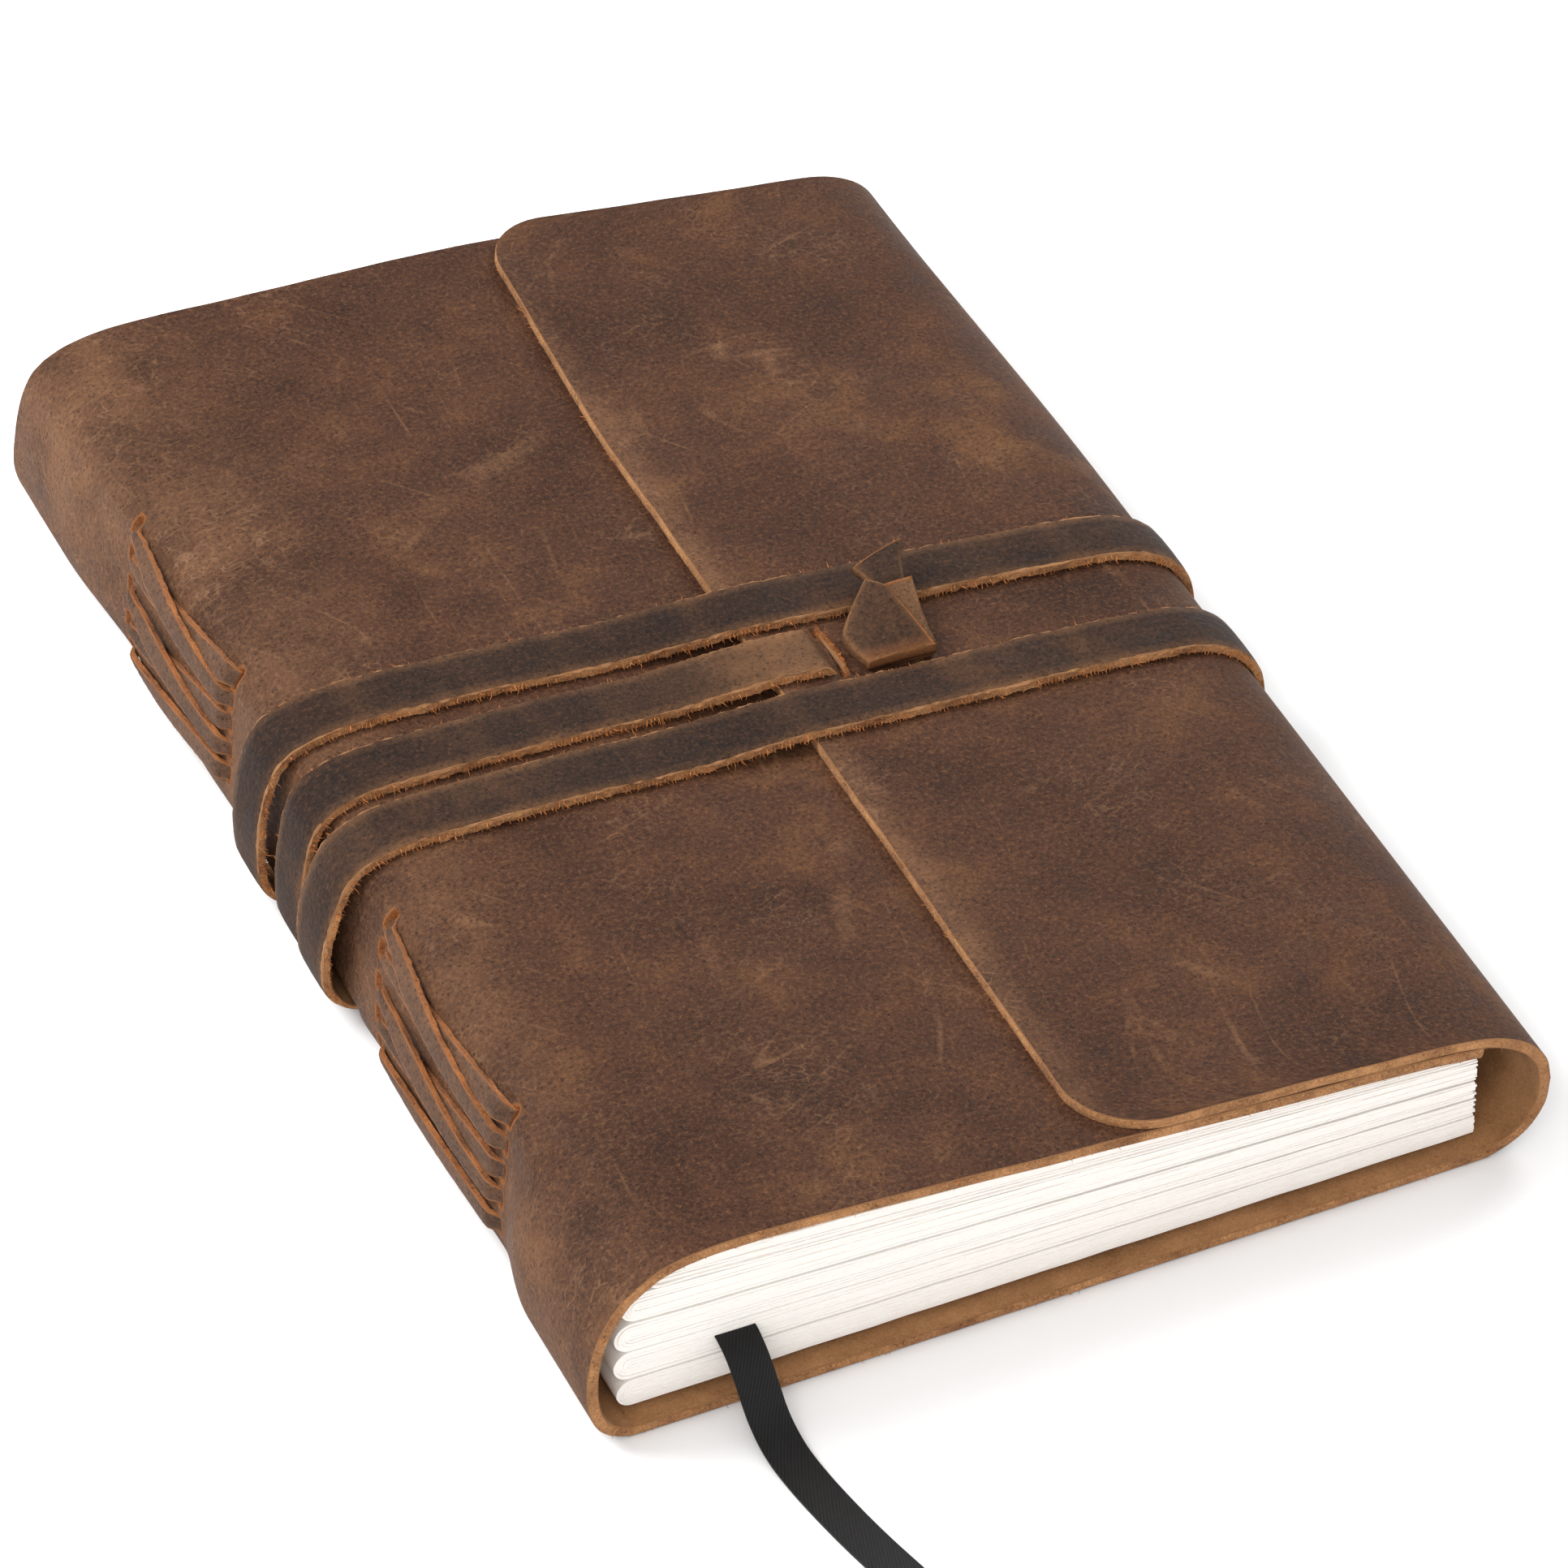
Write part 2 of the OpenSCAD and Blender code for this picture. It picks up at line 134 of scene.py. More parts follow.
class Shader:
    """A small wrapper that adds nodes to one material."""

    def __init__(self, name):
        self.mat = bpy.data.materials.new(name)
        self.mat.use_nodes = True
        self.tree = self.mat.node_tree
        self.bsdf = self.tree.nodes["Principled BSDF"]

    def node(self, kind, inputs=None, **settings):
        made = self.tree.nodes.new(kind)
        for key, value in settings.items():
            setattr(made, key, value)
        for key, value in (inputs or {}).items():
            self.put(made.inputs[key], value)
        return made

    def put(self, socket, value):
        if isinstance(value, bpy.types.NodeSocket):
            self.tree.links.new(value, socket)
        else:
            socket.default_value = value

    def attribute(self, name, output="Fac"):
        return self.node("ShaderNodeAttribute", attribute_name=name).outputs[output]

    def noise(self, coords, scale, detail=3.0, rough=0.5, distort=0.0):
        made = self.node("ShaderNodeTexNoise", {"Vector": coords, "Scale": scale, "Detail": detail,
                                                "Roughness": rough, "Distortion": distort})
        return made.outputs["Fac"]

    def cells(self, coords, scale, feature="F1"):
        made = self.node("ShaderNodeTexVoronoi", {"Vector": coords, "Scale": scale}, feature=feature)
        return made.outputs["Distance"]

    def stretch(self, coords, scale, turn=0.0):
        made = self.node("ShaderNodeMapping", {"Vector": coords, "Rotation": (0, 0, turn), "Scale": scale})
        return made.outputs["Vector"]

    def math(self, what, a, b=0.0):
        return self.node("ShaderNodeMath", {0: a, 1: b}, operation=what).outputs[0]

    def between(self, value, low, high, to_low=0.0, to_high=1.0):
        made = self.node("ShaderNodeMapRange", {"Value": value, "From Min": low, "From Max": high,
                                                "To Min": to_low, "To Max": to_high}, clamp=True)
        return made.outputs[0]

    def mix(self, share, a, b):
        return self.node("ShaderNodeMix", {0: share, 6: a, 7: b}, data_type="RGBA").outputs[2]

    def total(self, *parts):
        """The sum of values, each given with its weight."""
        sums = [self.math("MULTIPLY", value, weight) for value, weight in parts]
        while len(sums) > 1:
            sums[:2] = [self.math("ADD", *sums[:2])]
        return sums[0]

    def shift(self, coords, by):
        return self.node("ShaderNodeVectorMath", {0: coords, 1: by}).outputs[0]

    def warped(self, coords, at, scale, detail, reach):
        """coords pushed about by the noise at another place."""
        push = self.node("ShaderNodeTexNoise", {"Vector": at, "Scale": scale, "Detail": detail}).outputs["Color"]
        return self.shift(coords, self.stretch(push, (reach, reach, reach)))

    def surface(self, colour, roughness, specular, height, strength, distance):
        """The finished material. height is what its bumps follow, and distance is in metres."""
        bump = self.node("ShaderNodeBump", {"Height": height, "Strength": strength, "Distance": distance})
        for key, value in (("Base Color", colour), ("Roughness", roughness), ("Specular IOR Level", specular),
                           ("Normal", bump.outputs[0])):
            self.put(self.bsdf.inputs[key], value)
        return self.mat


def rgb(red, green, blue):
    """An sRGB colour of 0 to 255 as a linear one."""
    def linear(c):
        c /= 255
        return c / 12.92 if c <= 0.04045 else ((c + 0.055) / 1.055) ** 2.4
    return (linear(red), linear(green), linear(blue), 1.0)


def grain_leather(name, dark, middle, light, worn_and_painted_light, marks=1.0):
    """Oiled pull-up leather: clouds, pores, fine web, scratches, and tan where it is bent, worn or cut, and where
    light is painted on.
    """
    s = Shader(name)
    coords = s.attribute("hide", "Vector")
    bent = s.warped(coords, coords, 0.12, 3.0, 7)
    clouds = s.noise(bent, 0.028, 4, 0.55, 0.4)
    blotch = s.noise(bent, 0.11, 6, 0.62)
    speck = s.noise(coords, 1.5, 3, 0.7)
    ramp = s.node("ShaderNodeValToRGB", {"Fac": s.total((clouds, 0.5), (blotch, 0.5),
                                                        (s.math("SUBTRACT", speck, 0.5), 0.20))})
    stops = ramp.color_ramp.elements
    stops[0].position, stops[0].color = 0.32, rgb(*dark)
    stops[1].position, stops[1].color = 0.78, rgb(*light)
    stops.new(0.53).color = rgb(*middle)
    # Paler where it is worn and where a painted highlight is laid on (the spine's head, the knot's edges), in
    # patches
    patchy = s.between(s.math("ADD", blotch, clouds), 0.75, 1.25, 0.30, 1.1)
    wear_and_painted_light = s.math("MINIMUM", s.math("MULTIPLY", s.attribute("wear_and_painted_light"), patchy), 1.0)
    colour = s.mix(wear_and_painted_light, ramp.outputs[0], rgb(*worn_and_painted_light))
    # A web of fine creases, most of it where the leather is worn and where light is painted on
    web_coords = s.stretch(s.warped(bent, coords, 0.5, 2.0, 1.3), (0.7, 1.2, 1.0), 0.5)
    web = s.between(s.cells(web_coords, 0.5, "DISTANCE_TO_EDGE"), 0.09, 0.015)
    share = s.total((s.between(s.noise(coords, 0.045, 3), 0.48, 0.66), 0.30), (s.attribute("wear_and_painted_light"), 0.42))
    share = s.math("MULTIPLY", share, s.between(s.noise(coords, 0.35, 3), 0.38, 0.60, 0.0, marks))
    colour = s.mix(s.math("MULTIPLY", web, share), colour, rgb(138, 104, 78))
    # Long thin scratches in three directions
    for turn, seed in ((0.5, 0.0), (-0.9, 40.0), (1.4, 90.0)):
        moved = s.shift(coords, (seed, seed, 0))
        turned = s.stretch(moved, (1, 1, 1), turn)
        line = s.noise(s.stretch(turned, (0.008, 0.07, 0.07)), 1.0, 1, 0.4, 0.2)
        line = s.math("ABSOLUTE", s.math("SUBTRACT", line, 0.5))
        broken = s.between(s.noise(moved, 0.045, 4, 0.65), 0.53, 0.66, 0.0, 0.26 * marks)
        colour = s.mix(s.math("MULTIPLY", s.between(line, 0.010, 0.002), broken), colour, rgb(142, 104, 74))
    # Pale and dark specks, and pores
    pale, deep = rgb(*[c * 1.25 for c in light]), rgb(*[c * 0.45 for c in dark])
    salt = s.noise(coords, 1.25, 5, 0.95)
    colour = s.mix(s.between(salt, 0.52, 0.70, 0.0, 0.62), colour, pale)
    colour = s.mix(s.between(salt, 0.50, 0.30, 0.0, 0.85), colour, deep)
    colour = s.mix(s.between(s.cells(coords, 0.9), 0.30, 0.08, 0.0, 0.55), colour, deep)
    # Raw leather at slots and slits
    fuzz = s.noise(coords, 3.5, 3, 0.8)
    cut = s.attribute("cut")
    colour = s.mix(cut, colour, s.mix(s.between(fuzz, 0.35, 0.65), rgb(120, 70, 36), rgb(178, 112, 62)))
    grain = s.total((s.cells(bent, 0.85, "SMOOTH_F1"), 0.6), (speck, 0.7), (web, -0.12),
                    (s.math("MULTIPLY", fuzz, cut), 2.5))
    return s.surface(colour, s.between(blotch, 0.35, 0.7, 0.55, 0.72), 0.09, grain, 0.8, 0.00028)


def flesh_leather(name, dark, light, fibre=2.6):
    """The raw side or the cut edge of the hide: short matted fibres."""
    s = Shader(name)
    coords = s.attribute("hide", "Vector")
    fibres = s.noise(coords, fibre, 4, 0.75, 1.2)
    tone = s.total((fibres, 0.6), (s.noise(coords, 0.14, 4, 0.6), 0.4))
    s.bsdf.inputs["Sheen Weight"].default_value = 0.05
    return s.surface(s.mix(s.between(tone, 0.38, 0.62), rgb(*dark), rgb(*light)), 0.9, 0.2, fibres, 0.7, 0.0004)


def paper_material():
    """Warm white paper with fine fibres and a few flecks."""
    s = Shader("paper")
    coords = s.attribute("hide", "Vector")
    fibres = s.noise(s.stretch(coords, (0.6, 1.4, 3.0)), 1.6, 4, 0.7)
    colour = s.mix(s.between(fibres, 0.3, 0.7), rgb(232, 226, 219), rgb(245, 241, 236))
    colour = s.mix(s.between(s.cells(coords, 0.16), 0.035, 0.015, 0.0, 0.5), colour, rgb(170, 150, 125))
    return s.surface(colour, 0.85, 0.25, fibres, 0.35, 0.00012)


def satin_material():
    """Black satin ribbon: fine ribs across and threads along."""
    s = Shader("satin")
    coords = s.attribute("hide", "Vector")
    ribs = s.node("ShaderNodeTexWave", {"Vector": s.stretch(coords, (0.55, 1.0, 1.0)), "Scale": 1.15,
                                        "Distortion": 0.5, "Detail": 1.0}, bands_direction="DIAGONAL")
    tone = s.total((ribs.outputs["Fac"], 0.5), (s.noise(s.stretch(coords, (6, 0.6, 1)), 1.0, 2, 0.6), 0.5))
    colour = s.mix(s.between(tone, 0.3, 0.8), rgb(3, 3, 4), rgb(26, 25, 25))
    return s.surface(colour, 0.55, 0.25, tone, 0.6, 0.00012)


# ---- mesh helpers

def wobble(x, y, z=0.0, octaves=3):
    """Smooth noise of about -0.5 to 0.5."""
    return noise.fractal((x, y, z), 1.0, 2.0, octaves, noise_basis="PERLIN_ORIGINAL") * 0.5


def unit(vectors):
    return vectors / np.maximum(np.linalg.norm(vectors, axis=-1, keepdims=True), 1e-9)


def arc_lengths(line):
    """How far along a line of points each point is."""
    return np.concatenate([[0], np.cumsum(np.linalg.norm(np.diff(line, axis=0), axis=1))])


def in_space(rows, y):
    """Points or directions given in the XZ plane, with their Y."""
    return np.dstack([rows[..., 0], np.broadcast_to(y, rows.shape[:2]), rows[..., 1]])


def settle(points):
    """The head end of the book lies a little flatter than the tail end, and its fore-edge corner is drawn in."""
    points = np.array(points, float)
    head = smooth(30, HALF_H, points[:, 1])
    points[:, 2] *= 1 - HEAD_FLATTER * head * (1 - 0.5 * np.exp(-((points[:, 0] - 2) / 36) ** 2))
    points[:, 1] -= HEAD_IN_Y * head * smooth(0, 75, points[:, 0])
    points[:, 0] -= HEAD_IN_X * head * smooth(40, 75, points[:, 0])
    return points


def build(name, points, faces, kinds, materials, hide, wear_and_painted_light=None, cut=None):
    """A mesh object from millimetre points, with the attributes that the materials read."""
    mesh = bpy.data.meshes.new(name)
    mesh.from_pydata((settle(points) * MM).tolist(), [], [list(f) for f in faces])
    for material in materials:
        mesh.materials.append(material)
    mesh.polygons.foreach_set("material_index", np.asarray(kinds, np.int32))
    mesh.polygons.foreach_set("use_smooth", np.ones(len(mesh.polygons), bool))
    count = len(mesh.vertices)
    coords = mesh.attributes.new("hide", "FLOAT_VECTOR", "POINT")
    coords.data.foreach_set("vector", np.asarray(hide, np.float32).ravel())
    for key, values in (("wear_and_painted_light", wear_and_painted_light), ("cut", cut)):
        channel = mesh.attributes.new(key, "FLOAT", "POINT")
        channel.data.foreach_set("value", np.asarray(np.zeros(count) if values is None else values, np.float32))
    mesh.validate()
    mesh.update()
    mesh.set_sharp_from_angle(angle=math.radians(50))
    made = bpy.data.objects.new(name, mesh)
    scene.collection.objects.link(made)
    return made


def grid_faces(rows, columns, start=0, wrap=False, flip=False):
    """Quads of a grid of vertices that begins at index start."""
    faces = []
    for i in range(rows - 1):
        for j in range(columns if wrap else columns - 1):
            a, b = start + i * columns + j, start + i * columns + (j + 1) % columns
            quad = (a, b, b + columns, a + columns)
            faces.append(quad[::-1] if flip else quad)
    return faces


def skirt(levels):
    """Quads from each row of vertex numbers to the next."""
    return [(a[k], b[k], b[k + 1], a[k + 1]) for a, b in zip(levels, levels[1:]) for k in range(len(a) - 1)]


def end_caps(stations, ring):
    """The two end faces of a tube."""
    return [tuple(range(ring)), tuple((stations - 1) * ring + j for j in reversed(range(ring)))]


def curve_through(points, step):
    """A Catmull-Rom curve through points, resampled about every step."""
    p = np.asarray(points, float)
    p = np.vstack([2 * p[0] - p[1], p, 2 * p[-1] - p[-2]])
    t = np.linspace(0, 1, 24, endpoint=False)[:, None]
    dense = []
    for a, b, c, d in zip(p, p[1:], p[2:], p[3:]):
        dense.append(0.5 * (2 * b + (c - a) * t + (2 * a - 5 * b + 4 * c - d) * t ** 2
                            + (3 * b - a - 3 * c + d) * t ** 3))
    dense = np.vstack(dense + [p[-2][None]])
    lengths = arc_lengths(dense)
    count = max(2, int(round(lengths[-1] / step)) + 1)
    s = np.linspace(0, lengths[-1], count)
    return np.column_stack([np.interp(s, lengths, dense[:, k]) for k in range(dense.shape[1])])


def smooth(a, b, x):
    """A soft step from 0 at a to 1 at b."""
    t = np.clip((np.asarray(x, float) - a) / (b - a), 0, 1)
    return t * t * (3 - 2 * t)


# ---- the shape of the hide: outlines of its outer face in the XZ plane

# From the free edge of the front cover to the top of the spine, and on to where the spine starts
FRONT_END = [(63.4, 22.5), (52, 23.9), (25, 26.0), (0, 28.2), (-20, 29.9), (-40, 31.4), (-52, 32.1), (-60, 31.9),
             (-65.6, 30.6), (-69.3, 28.5)]
FRONT_LACED = [(63.4, 22.5), (52, 23.9), (25, 26.0), (0, 28.1), (-20, 29.7), (-40, 31.1), (-52, 31.7), (-60, 31.8),
               (-66, 31.4), (-69.8, 30.0)]
# On round the spine, along the back and up the fore-edge to where the flap starts
BACK_FLAT = [(-30, 0), (20, 0), (60, 0), (66.4, 0.45), (71.4, 3.0), (74.3, 7.3), (75.0, 12.25)]
BACK_END = [(-69.3, 28.5), (-71.8, 26.4), (-74.0, 23.0), (-75.9, 18.6), (-77.0, 12.6), (-76.7, 7.0), (-74.9, 2.7),
            (-71.3, 0.4), (-66, 0)] + BACK_FLAT
BACK_LACED = [(-69.8, 30.0), (-71.7, 27.6), (-72.4, 24.0), (-72.9, 18.8), (-73.4, 12.6), (-73.7, 7.0),
              (-72.9, 2.7), (-70, 0.4), (-64, 0)] + BACK_FLAT
# The flap, from the fore-edge to its free edge
FLAP = [(75.0, 12.25), (74.0, 16.6), (70.8, 20.7), (65.3, 23.7), (58.2, 25.1), (47, 26.1), (25, 27.8), (1.2, 29.7)]


def row_mix(y):
    """How much of the laced outline a row at y has. The tail end flares more than the head end."""
    return smooth(-92, -75, y) * (1 - 0.55 * smooth(72, 94, y))


def rows_along_y():
    """The Y of each row of vertices: closer at the ends and at the lacing holes."""
    edge = [HALF_H - 12 * (1 - math.sin(a)) for a in np.linspace(0, math.pi / 2, 15)]
    fine = [y + d for y in HOLE_ROWS for d in np.linspace(-2.4, 2.4, 17)]
    coarse = [y for y in np.arange(-HALF_H + 13, HALF_H - 12, 1.25)
              if min(abs(y - h) for h in HOLE_ROWS) > 3.0]
    return np.array(sorted([-y for y in edge] + edge + fine + coarse))


# Lacing: the Z of each hole, from the bottom up, at the ends of each group
LACING = {
    "head": {"upper": (70.5, (3.6, 9.2, 16.3, 22.3, 27.9)), "lower": (29.5, (10.0, 14.6, 19.8, 24.0, 28.0))},
    "tail": {"upper": (-30.0, (4.6, 10.5, 16.8, 22.9, 28.2)), "lower": (-75.0, (7.3, 12.7, 17.6, 22.8, 27.8))},
}
HOLE_ROWS = [end[0] for group in LACING.values() for end in group.values()]
# Which hole each thong runs to, counted from the bottom, and how far it stands off the spine
CROSSING = ((1, 1, 0.4), (2, 3, 0.15), (3, 2, 1.4), (4, 5, 0.15), (5, 4, 1.5))


def outline(end_points, laced_points, y, step):
    """The hide's outline at y: between the one at the ends and the one at the lacing."""
    share = row_mix(y)
    return curve_through(np.array(end_points) * (1 - share) + np.array(laced_points) * share, step)


def sampled(end_points, laced_points, ys, spacing):
    """Rows of outline points, one row for each y, all with the same count; spacing(x) gives the step."""
    base = curve_through(laced_points, 0.1)
    lengths = arc_lengths(base)
    density = np.array([1 / spacing(x) for x in base[:, 0]])
    total = np.concatenate([[0], np.cumsum((density[1:] + density[:-1]) / 2 * np.diff(lengths))])
    share = np.interp(np.linspace(0, total[-1], int(total[-1]) + 1), total, lengths / lengths[-1])
    rows = []
    for y in ys:
        c = outline(end_points, laced_points, y, 0.25)
        d = arc_lengths(c)
        at = share * d[-1]
        rows.append(np.column_stack([np.interp(at, d, c[:, 0]), np.interp(at, d, c[:, 1])]))
    return np.array(rows), share * lengths[-1]


def pressed(y):
    """How far the strap presses the underside in at y."""
    return PRESS * smooth(PRESS_LOW, PRESS_LOW + 1.2, y) * (1 - smooth(PRESS_HIGH - 1.2, PRESS_HIGH, y))


def normals_of(rows):
    """Outward normals in the XZ plane of outline rows."""
    along = np.gradient(rows, axis=1)
    return unit(np.stack([along[..., 1], -along[..., 0]], axis=-1))


def hole_depth(ys, rows):
    """How much each vertex is in a lacing slot, and how much in the tan rim round one, from 0 to 1."""
    inside = np.zeros(rows.shape[:2])
    rim = np.zeros(rows.shape[:2])
    for group in LACING.values():
        for y0, heights in group.values():
            for z0 in heights:
                dz = np.maximum(np.abs(rows[..., 1] - z0) - 0.9, 0)
                far = np.hypot(dz, ys[:, None] - y0)
                far = np.where(rows[..., 0] < -60, far, 99)
                inside = np.maximum(inside, 1 - smooth(0.45, 0.95, far))
                rim = np.maximum(rim, 1 - smooth(0.95, 1.45, far))
    return inside, rim


# Where the rows of vertices on a cut edge lie, from the outer face (0) to the inner one (1)
RIM_STEPS = (0.1, 0.3, 0.5, 0.7, 0.9)


def leather_sheet(name, outer, flat_normal, along, ys, wear_and_painted_light, cut, cut_sides, materials, hair_material):
    """A closed sheet of leather, and the fibres of its cut edges. outer holds points [row, column, xyz] and
    flat_normal their outward normals in the XZ plane. cut_sides says which of low, high, first and last are cut."""
    rows, columns = outer.shape[:2]
    n = rows * columns
    thickness = LEATHER_T * (1 + 0.06 * np.array([[wobble(a / 15, y / 15, 5) for a in along] for y in ys]))
    flat_outer = outer.reshape(-1, 3)
    flat_inner = (outer - in_space(flat_normal, 0.0) * thickness[..., None]).reshape(-1, 3)
    flat_hide = np.dstack([np.tile(along, (rows, 1)), np.tile(ys[:, None], (1, columns)),
                           np.zeros((rows, columns))]).reshape(-1, 3)
    points = [flat_outer, flat_inner]
    hide = [flat_hide, flat_hide + (0, 0, LEATHER_T)]
    wear_and_painted_light_rows = [wear_and_painted_light.ravel(), np.zeros(n)]
    cuts = [cut.ravel(), np.zeros(n)]
    faces = grid_faces(rows, columns) + grid_faces(rows, columns, n, flip=True)
    kinds = [GRAIN] * (len(faces) // 2) + [FLESH] * (len(faces) // 2)
    index = np.arange(n).reshape(rows, columns)
    sides = {"low": index[0], "last": index[:, -1], "high": index[-1, ::-1], "first": index[::-1, 0]}
    step_in = {"low": columns, "high": -columns, "first": 1, "last": -1}
    roots, ways = [], []
    base = 2 * n
    for side, ring in sides.items():
        grown = [ring.tolist()]
        if side in cut_sides:
            at = flat_outer[ring]
            away = unit(at - flat_outer[ring + step_in[side]])
            across = flat_inner[ring] - at
            for a in range(1, len(ring) - 1):
                gap = at[a + 1] - at[a]
                for _ in range(int(rng.poisson(1.3 * np.linalg.norm(gap)))):
                    share = rng.random()
                    roots.append(at[a] + gap * rng.random() + across[a] * share + away[a] * 0.15)
                    ways.append(away[a] + rng.normal(0, 0.45, 3))
            rough = np.array([0.50 * wobble(*(v * 1.7), 2) + 0.25 * wobble(*(v / 3), 2) for v in at])
            for t in RIM_STEPS:
                reach = 0.26 * math.sin(math.pi * t) ** 0.6 + rough * math.sin(math.pi * t)
                reach[0] = reach[-1] = 0.0
                points.append(at * (1 - t) + flat_inner[ring] * t + away * reach[:, None])
                hide.append(flat_hide[ring] + (0, 0, 30 + LEATHER_T * t))
                wear_and_painted_light_rows.append(np.zeros(len(ring)))
                cuts.append(np.ones(len(ring)))
                grown.append(list(range(base, base + len(ring))))
                base += len(ring)
        grown.append((ring + n).tolist())
        faces += skirt(grown)
    kinds += [CUT] * (len(faces) - len(kinds))
    sheet = build(name, np.vstack(points), [f[::-1] for f in faces], kinds, materials, np.vstack(hide),
                  np.concatenate(wear_and_painted_light_rows), np.concatenate(cuts))
    sizes = np.minimum(rng.gamma(1.8, 0.17, len(roots)), 1.1)
    return [sheet, hairs(f"{name}_fibres", roots, ways, sizes, hair_material, 0.06)]


# Where the seam with the front lies in the materials' own coordinates along the hide
FRONT_RUN = 160


def make_back(materials, hair_material, ys):
    """The spine, the back and the lower half of the fore-edge fold."""
    def spacing(x):
        return 0.42 if x < -66 else 0.7 if x > 62 else 3.0
    rows, along = sampled(BACK_END, BACK_LACED, ys, spacing)
    normal = normals_of(rows)
    inside, rim = hole_depth(ys, rows)
    lift = np.array([pressed(y) for y in ys])[:, None]
    low = 1 - smooth(1.0, 7.0, rows[..., 1])
    rows = rows - normal * (lift * low)[..., None]
    dents = np.array([[wobble(a / 18, y / 18, 3) for a in along] for y in ys]) * 0.7
    dents *= smooth(4, 10, rows[..., 1]) * (1 - smooth(22, 27, rows[..., 1])) * smooth(-66, -72, rows[..., 0])
    sag = groove_near_holes(ys, rows)
    rows = rows + normal * (dents - sag - 1.3 * inside)[..., None]
    outer = in_space(rows, ys[:, None])
    wear_and_painted_light = np.maximum(bend_wear_and_painted_light(rows, ys), 1.2 * (rim - inside).clip(0, 1))
    cut = np.maximum(inside, 0.75 * rim)
    made = leather_sheet("cover_back", outer, normal, along + FRONT_RUN, ys, wear_and_painted_light, cut, ("low", "high"),
                         materials, hair_material)
    for piece in made:
        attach(piece, "book")
    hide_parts("back_cover", "spine", "fore_edge_fold")
    return along[-1] + FRONT_RUN


def bend_wear_and_painted_light(rows, ys):
    """The leather is paler where it bends: over the spine and a little at the fore-edge. Towards the spine's head
    the band is painted paler and wider, a painted highlight where the spine is lit more.
    """
    x, z = rows[..., 0], rows[..., 1]
    # The head share is painted light: the spine's pale band grows paler and wider towards its head, where the spine
    # is lit more.
    head = smooth(-115, 95, ys)[:, None]
    spine = (0.22 + 0.30 * head) * smooth(-58 + 20 * head, -69, x) + 0.22 * smooth(-69, -73, x)
    return spine * smooth(0, 8, z) + 0.35 * smooth(68, 74, x) * smooth(0, 6, z)


def groove_near_holes(ys, rows):
    """The hide is drawn in a little along the rows of holes, and swells between them."""
    drawn = np.zeros(len(ys))
    for y0 in HOLE_ROWS:
        drawn += 0.35 * np.exp(-((ys - y0) / 5.0) ** 2)
    return drawn[:, None] * smooth(-62, -70, rows[..., 0]) * smooth(1.0, 4.0, rows[..., 1])


def top_relief(x, y):
    """Slow unevenness of the leather on the front."""
    return 0.55 * wobble(x / 42, y / 42, 1) + 0.16 * wobble(x / 11, y / 11, 4)


def relief_of(rows, ys):
    return np.array([[top_relief(x, y) for x in row[:, 0]] for row, y in zip(rows, ys)])


def make_front(materials, hair_material, ys):
    """The front cover and the bend at its spine side."""
    def spacing(x):
        return 0.6 if x < -48 else 1.8
    rows, along = sampled(FRONT_END[::-1], FRONT_LACED[::-1], ys, spacing)
    rows = rows[:, ::-1]
    along = along[::-1]
    normal = normals_of(rows)
    relief = relief_of(rows, ys)
    fade = smooth(-67.5, -58, rows[..., 0]) * (1 - smooth(-2, 8, rows[..., 0]))
    rows = rows + normal * (relief * fade - groove_near_holes(ys, rows))[..., None]
    outer = in_space(rows, ys[:, None])
    wear_and_painted_light = bend_wear_and_painted_light(rows, ys)
    made = leather_sheet("cover_front", outer, normal, FRONT_RUN - along, ys, wear_and_painted_light, np.zeros_like(wear_and_painted_light),
                         ("low", "high", "first"), materials, hair_material)
    for piece in made:
        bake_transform(piece)
    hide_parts("front_cover", "front_fold")


FLAP_CORNER = 12.0  # radius


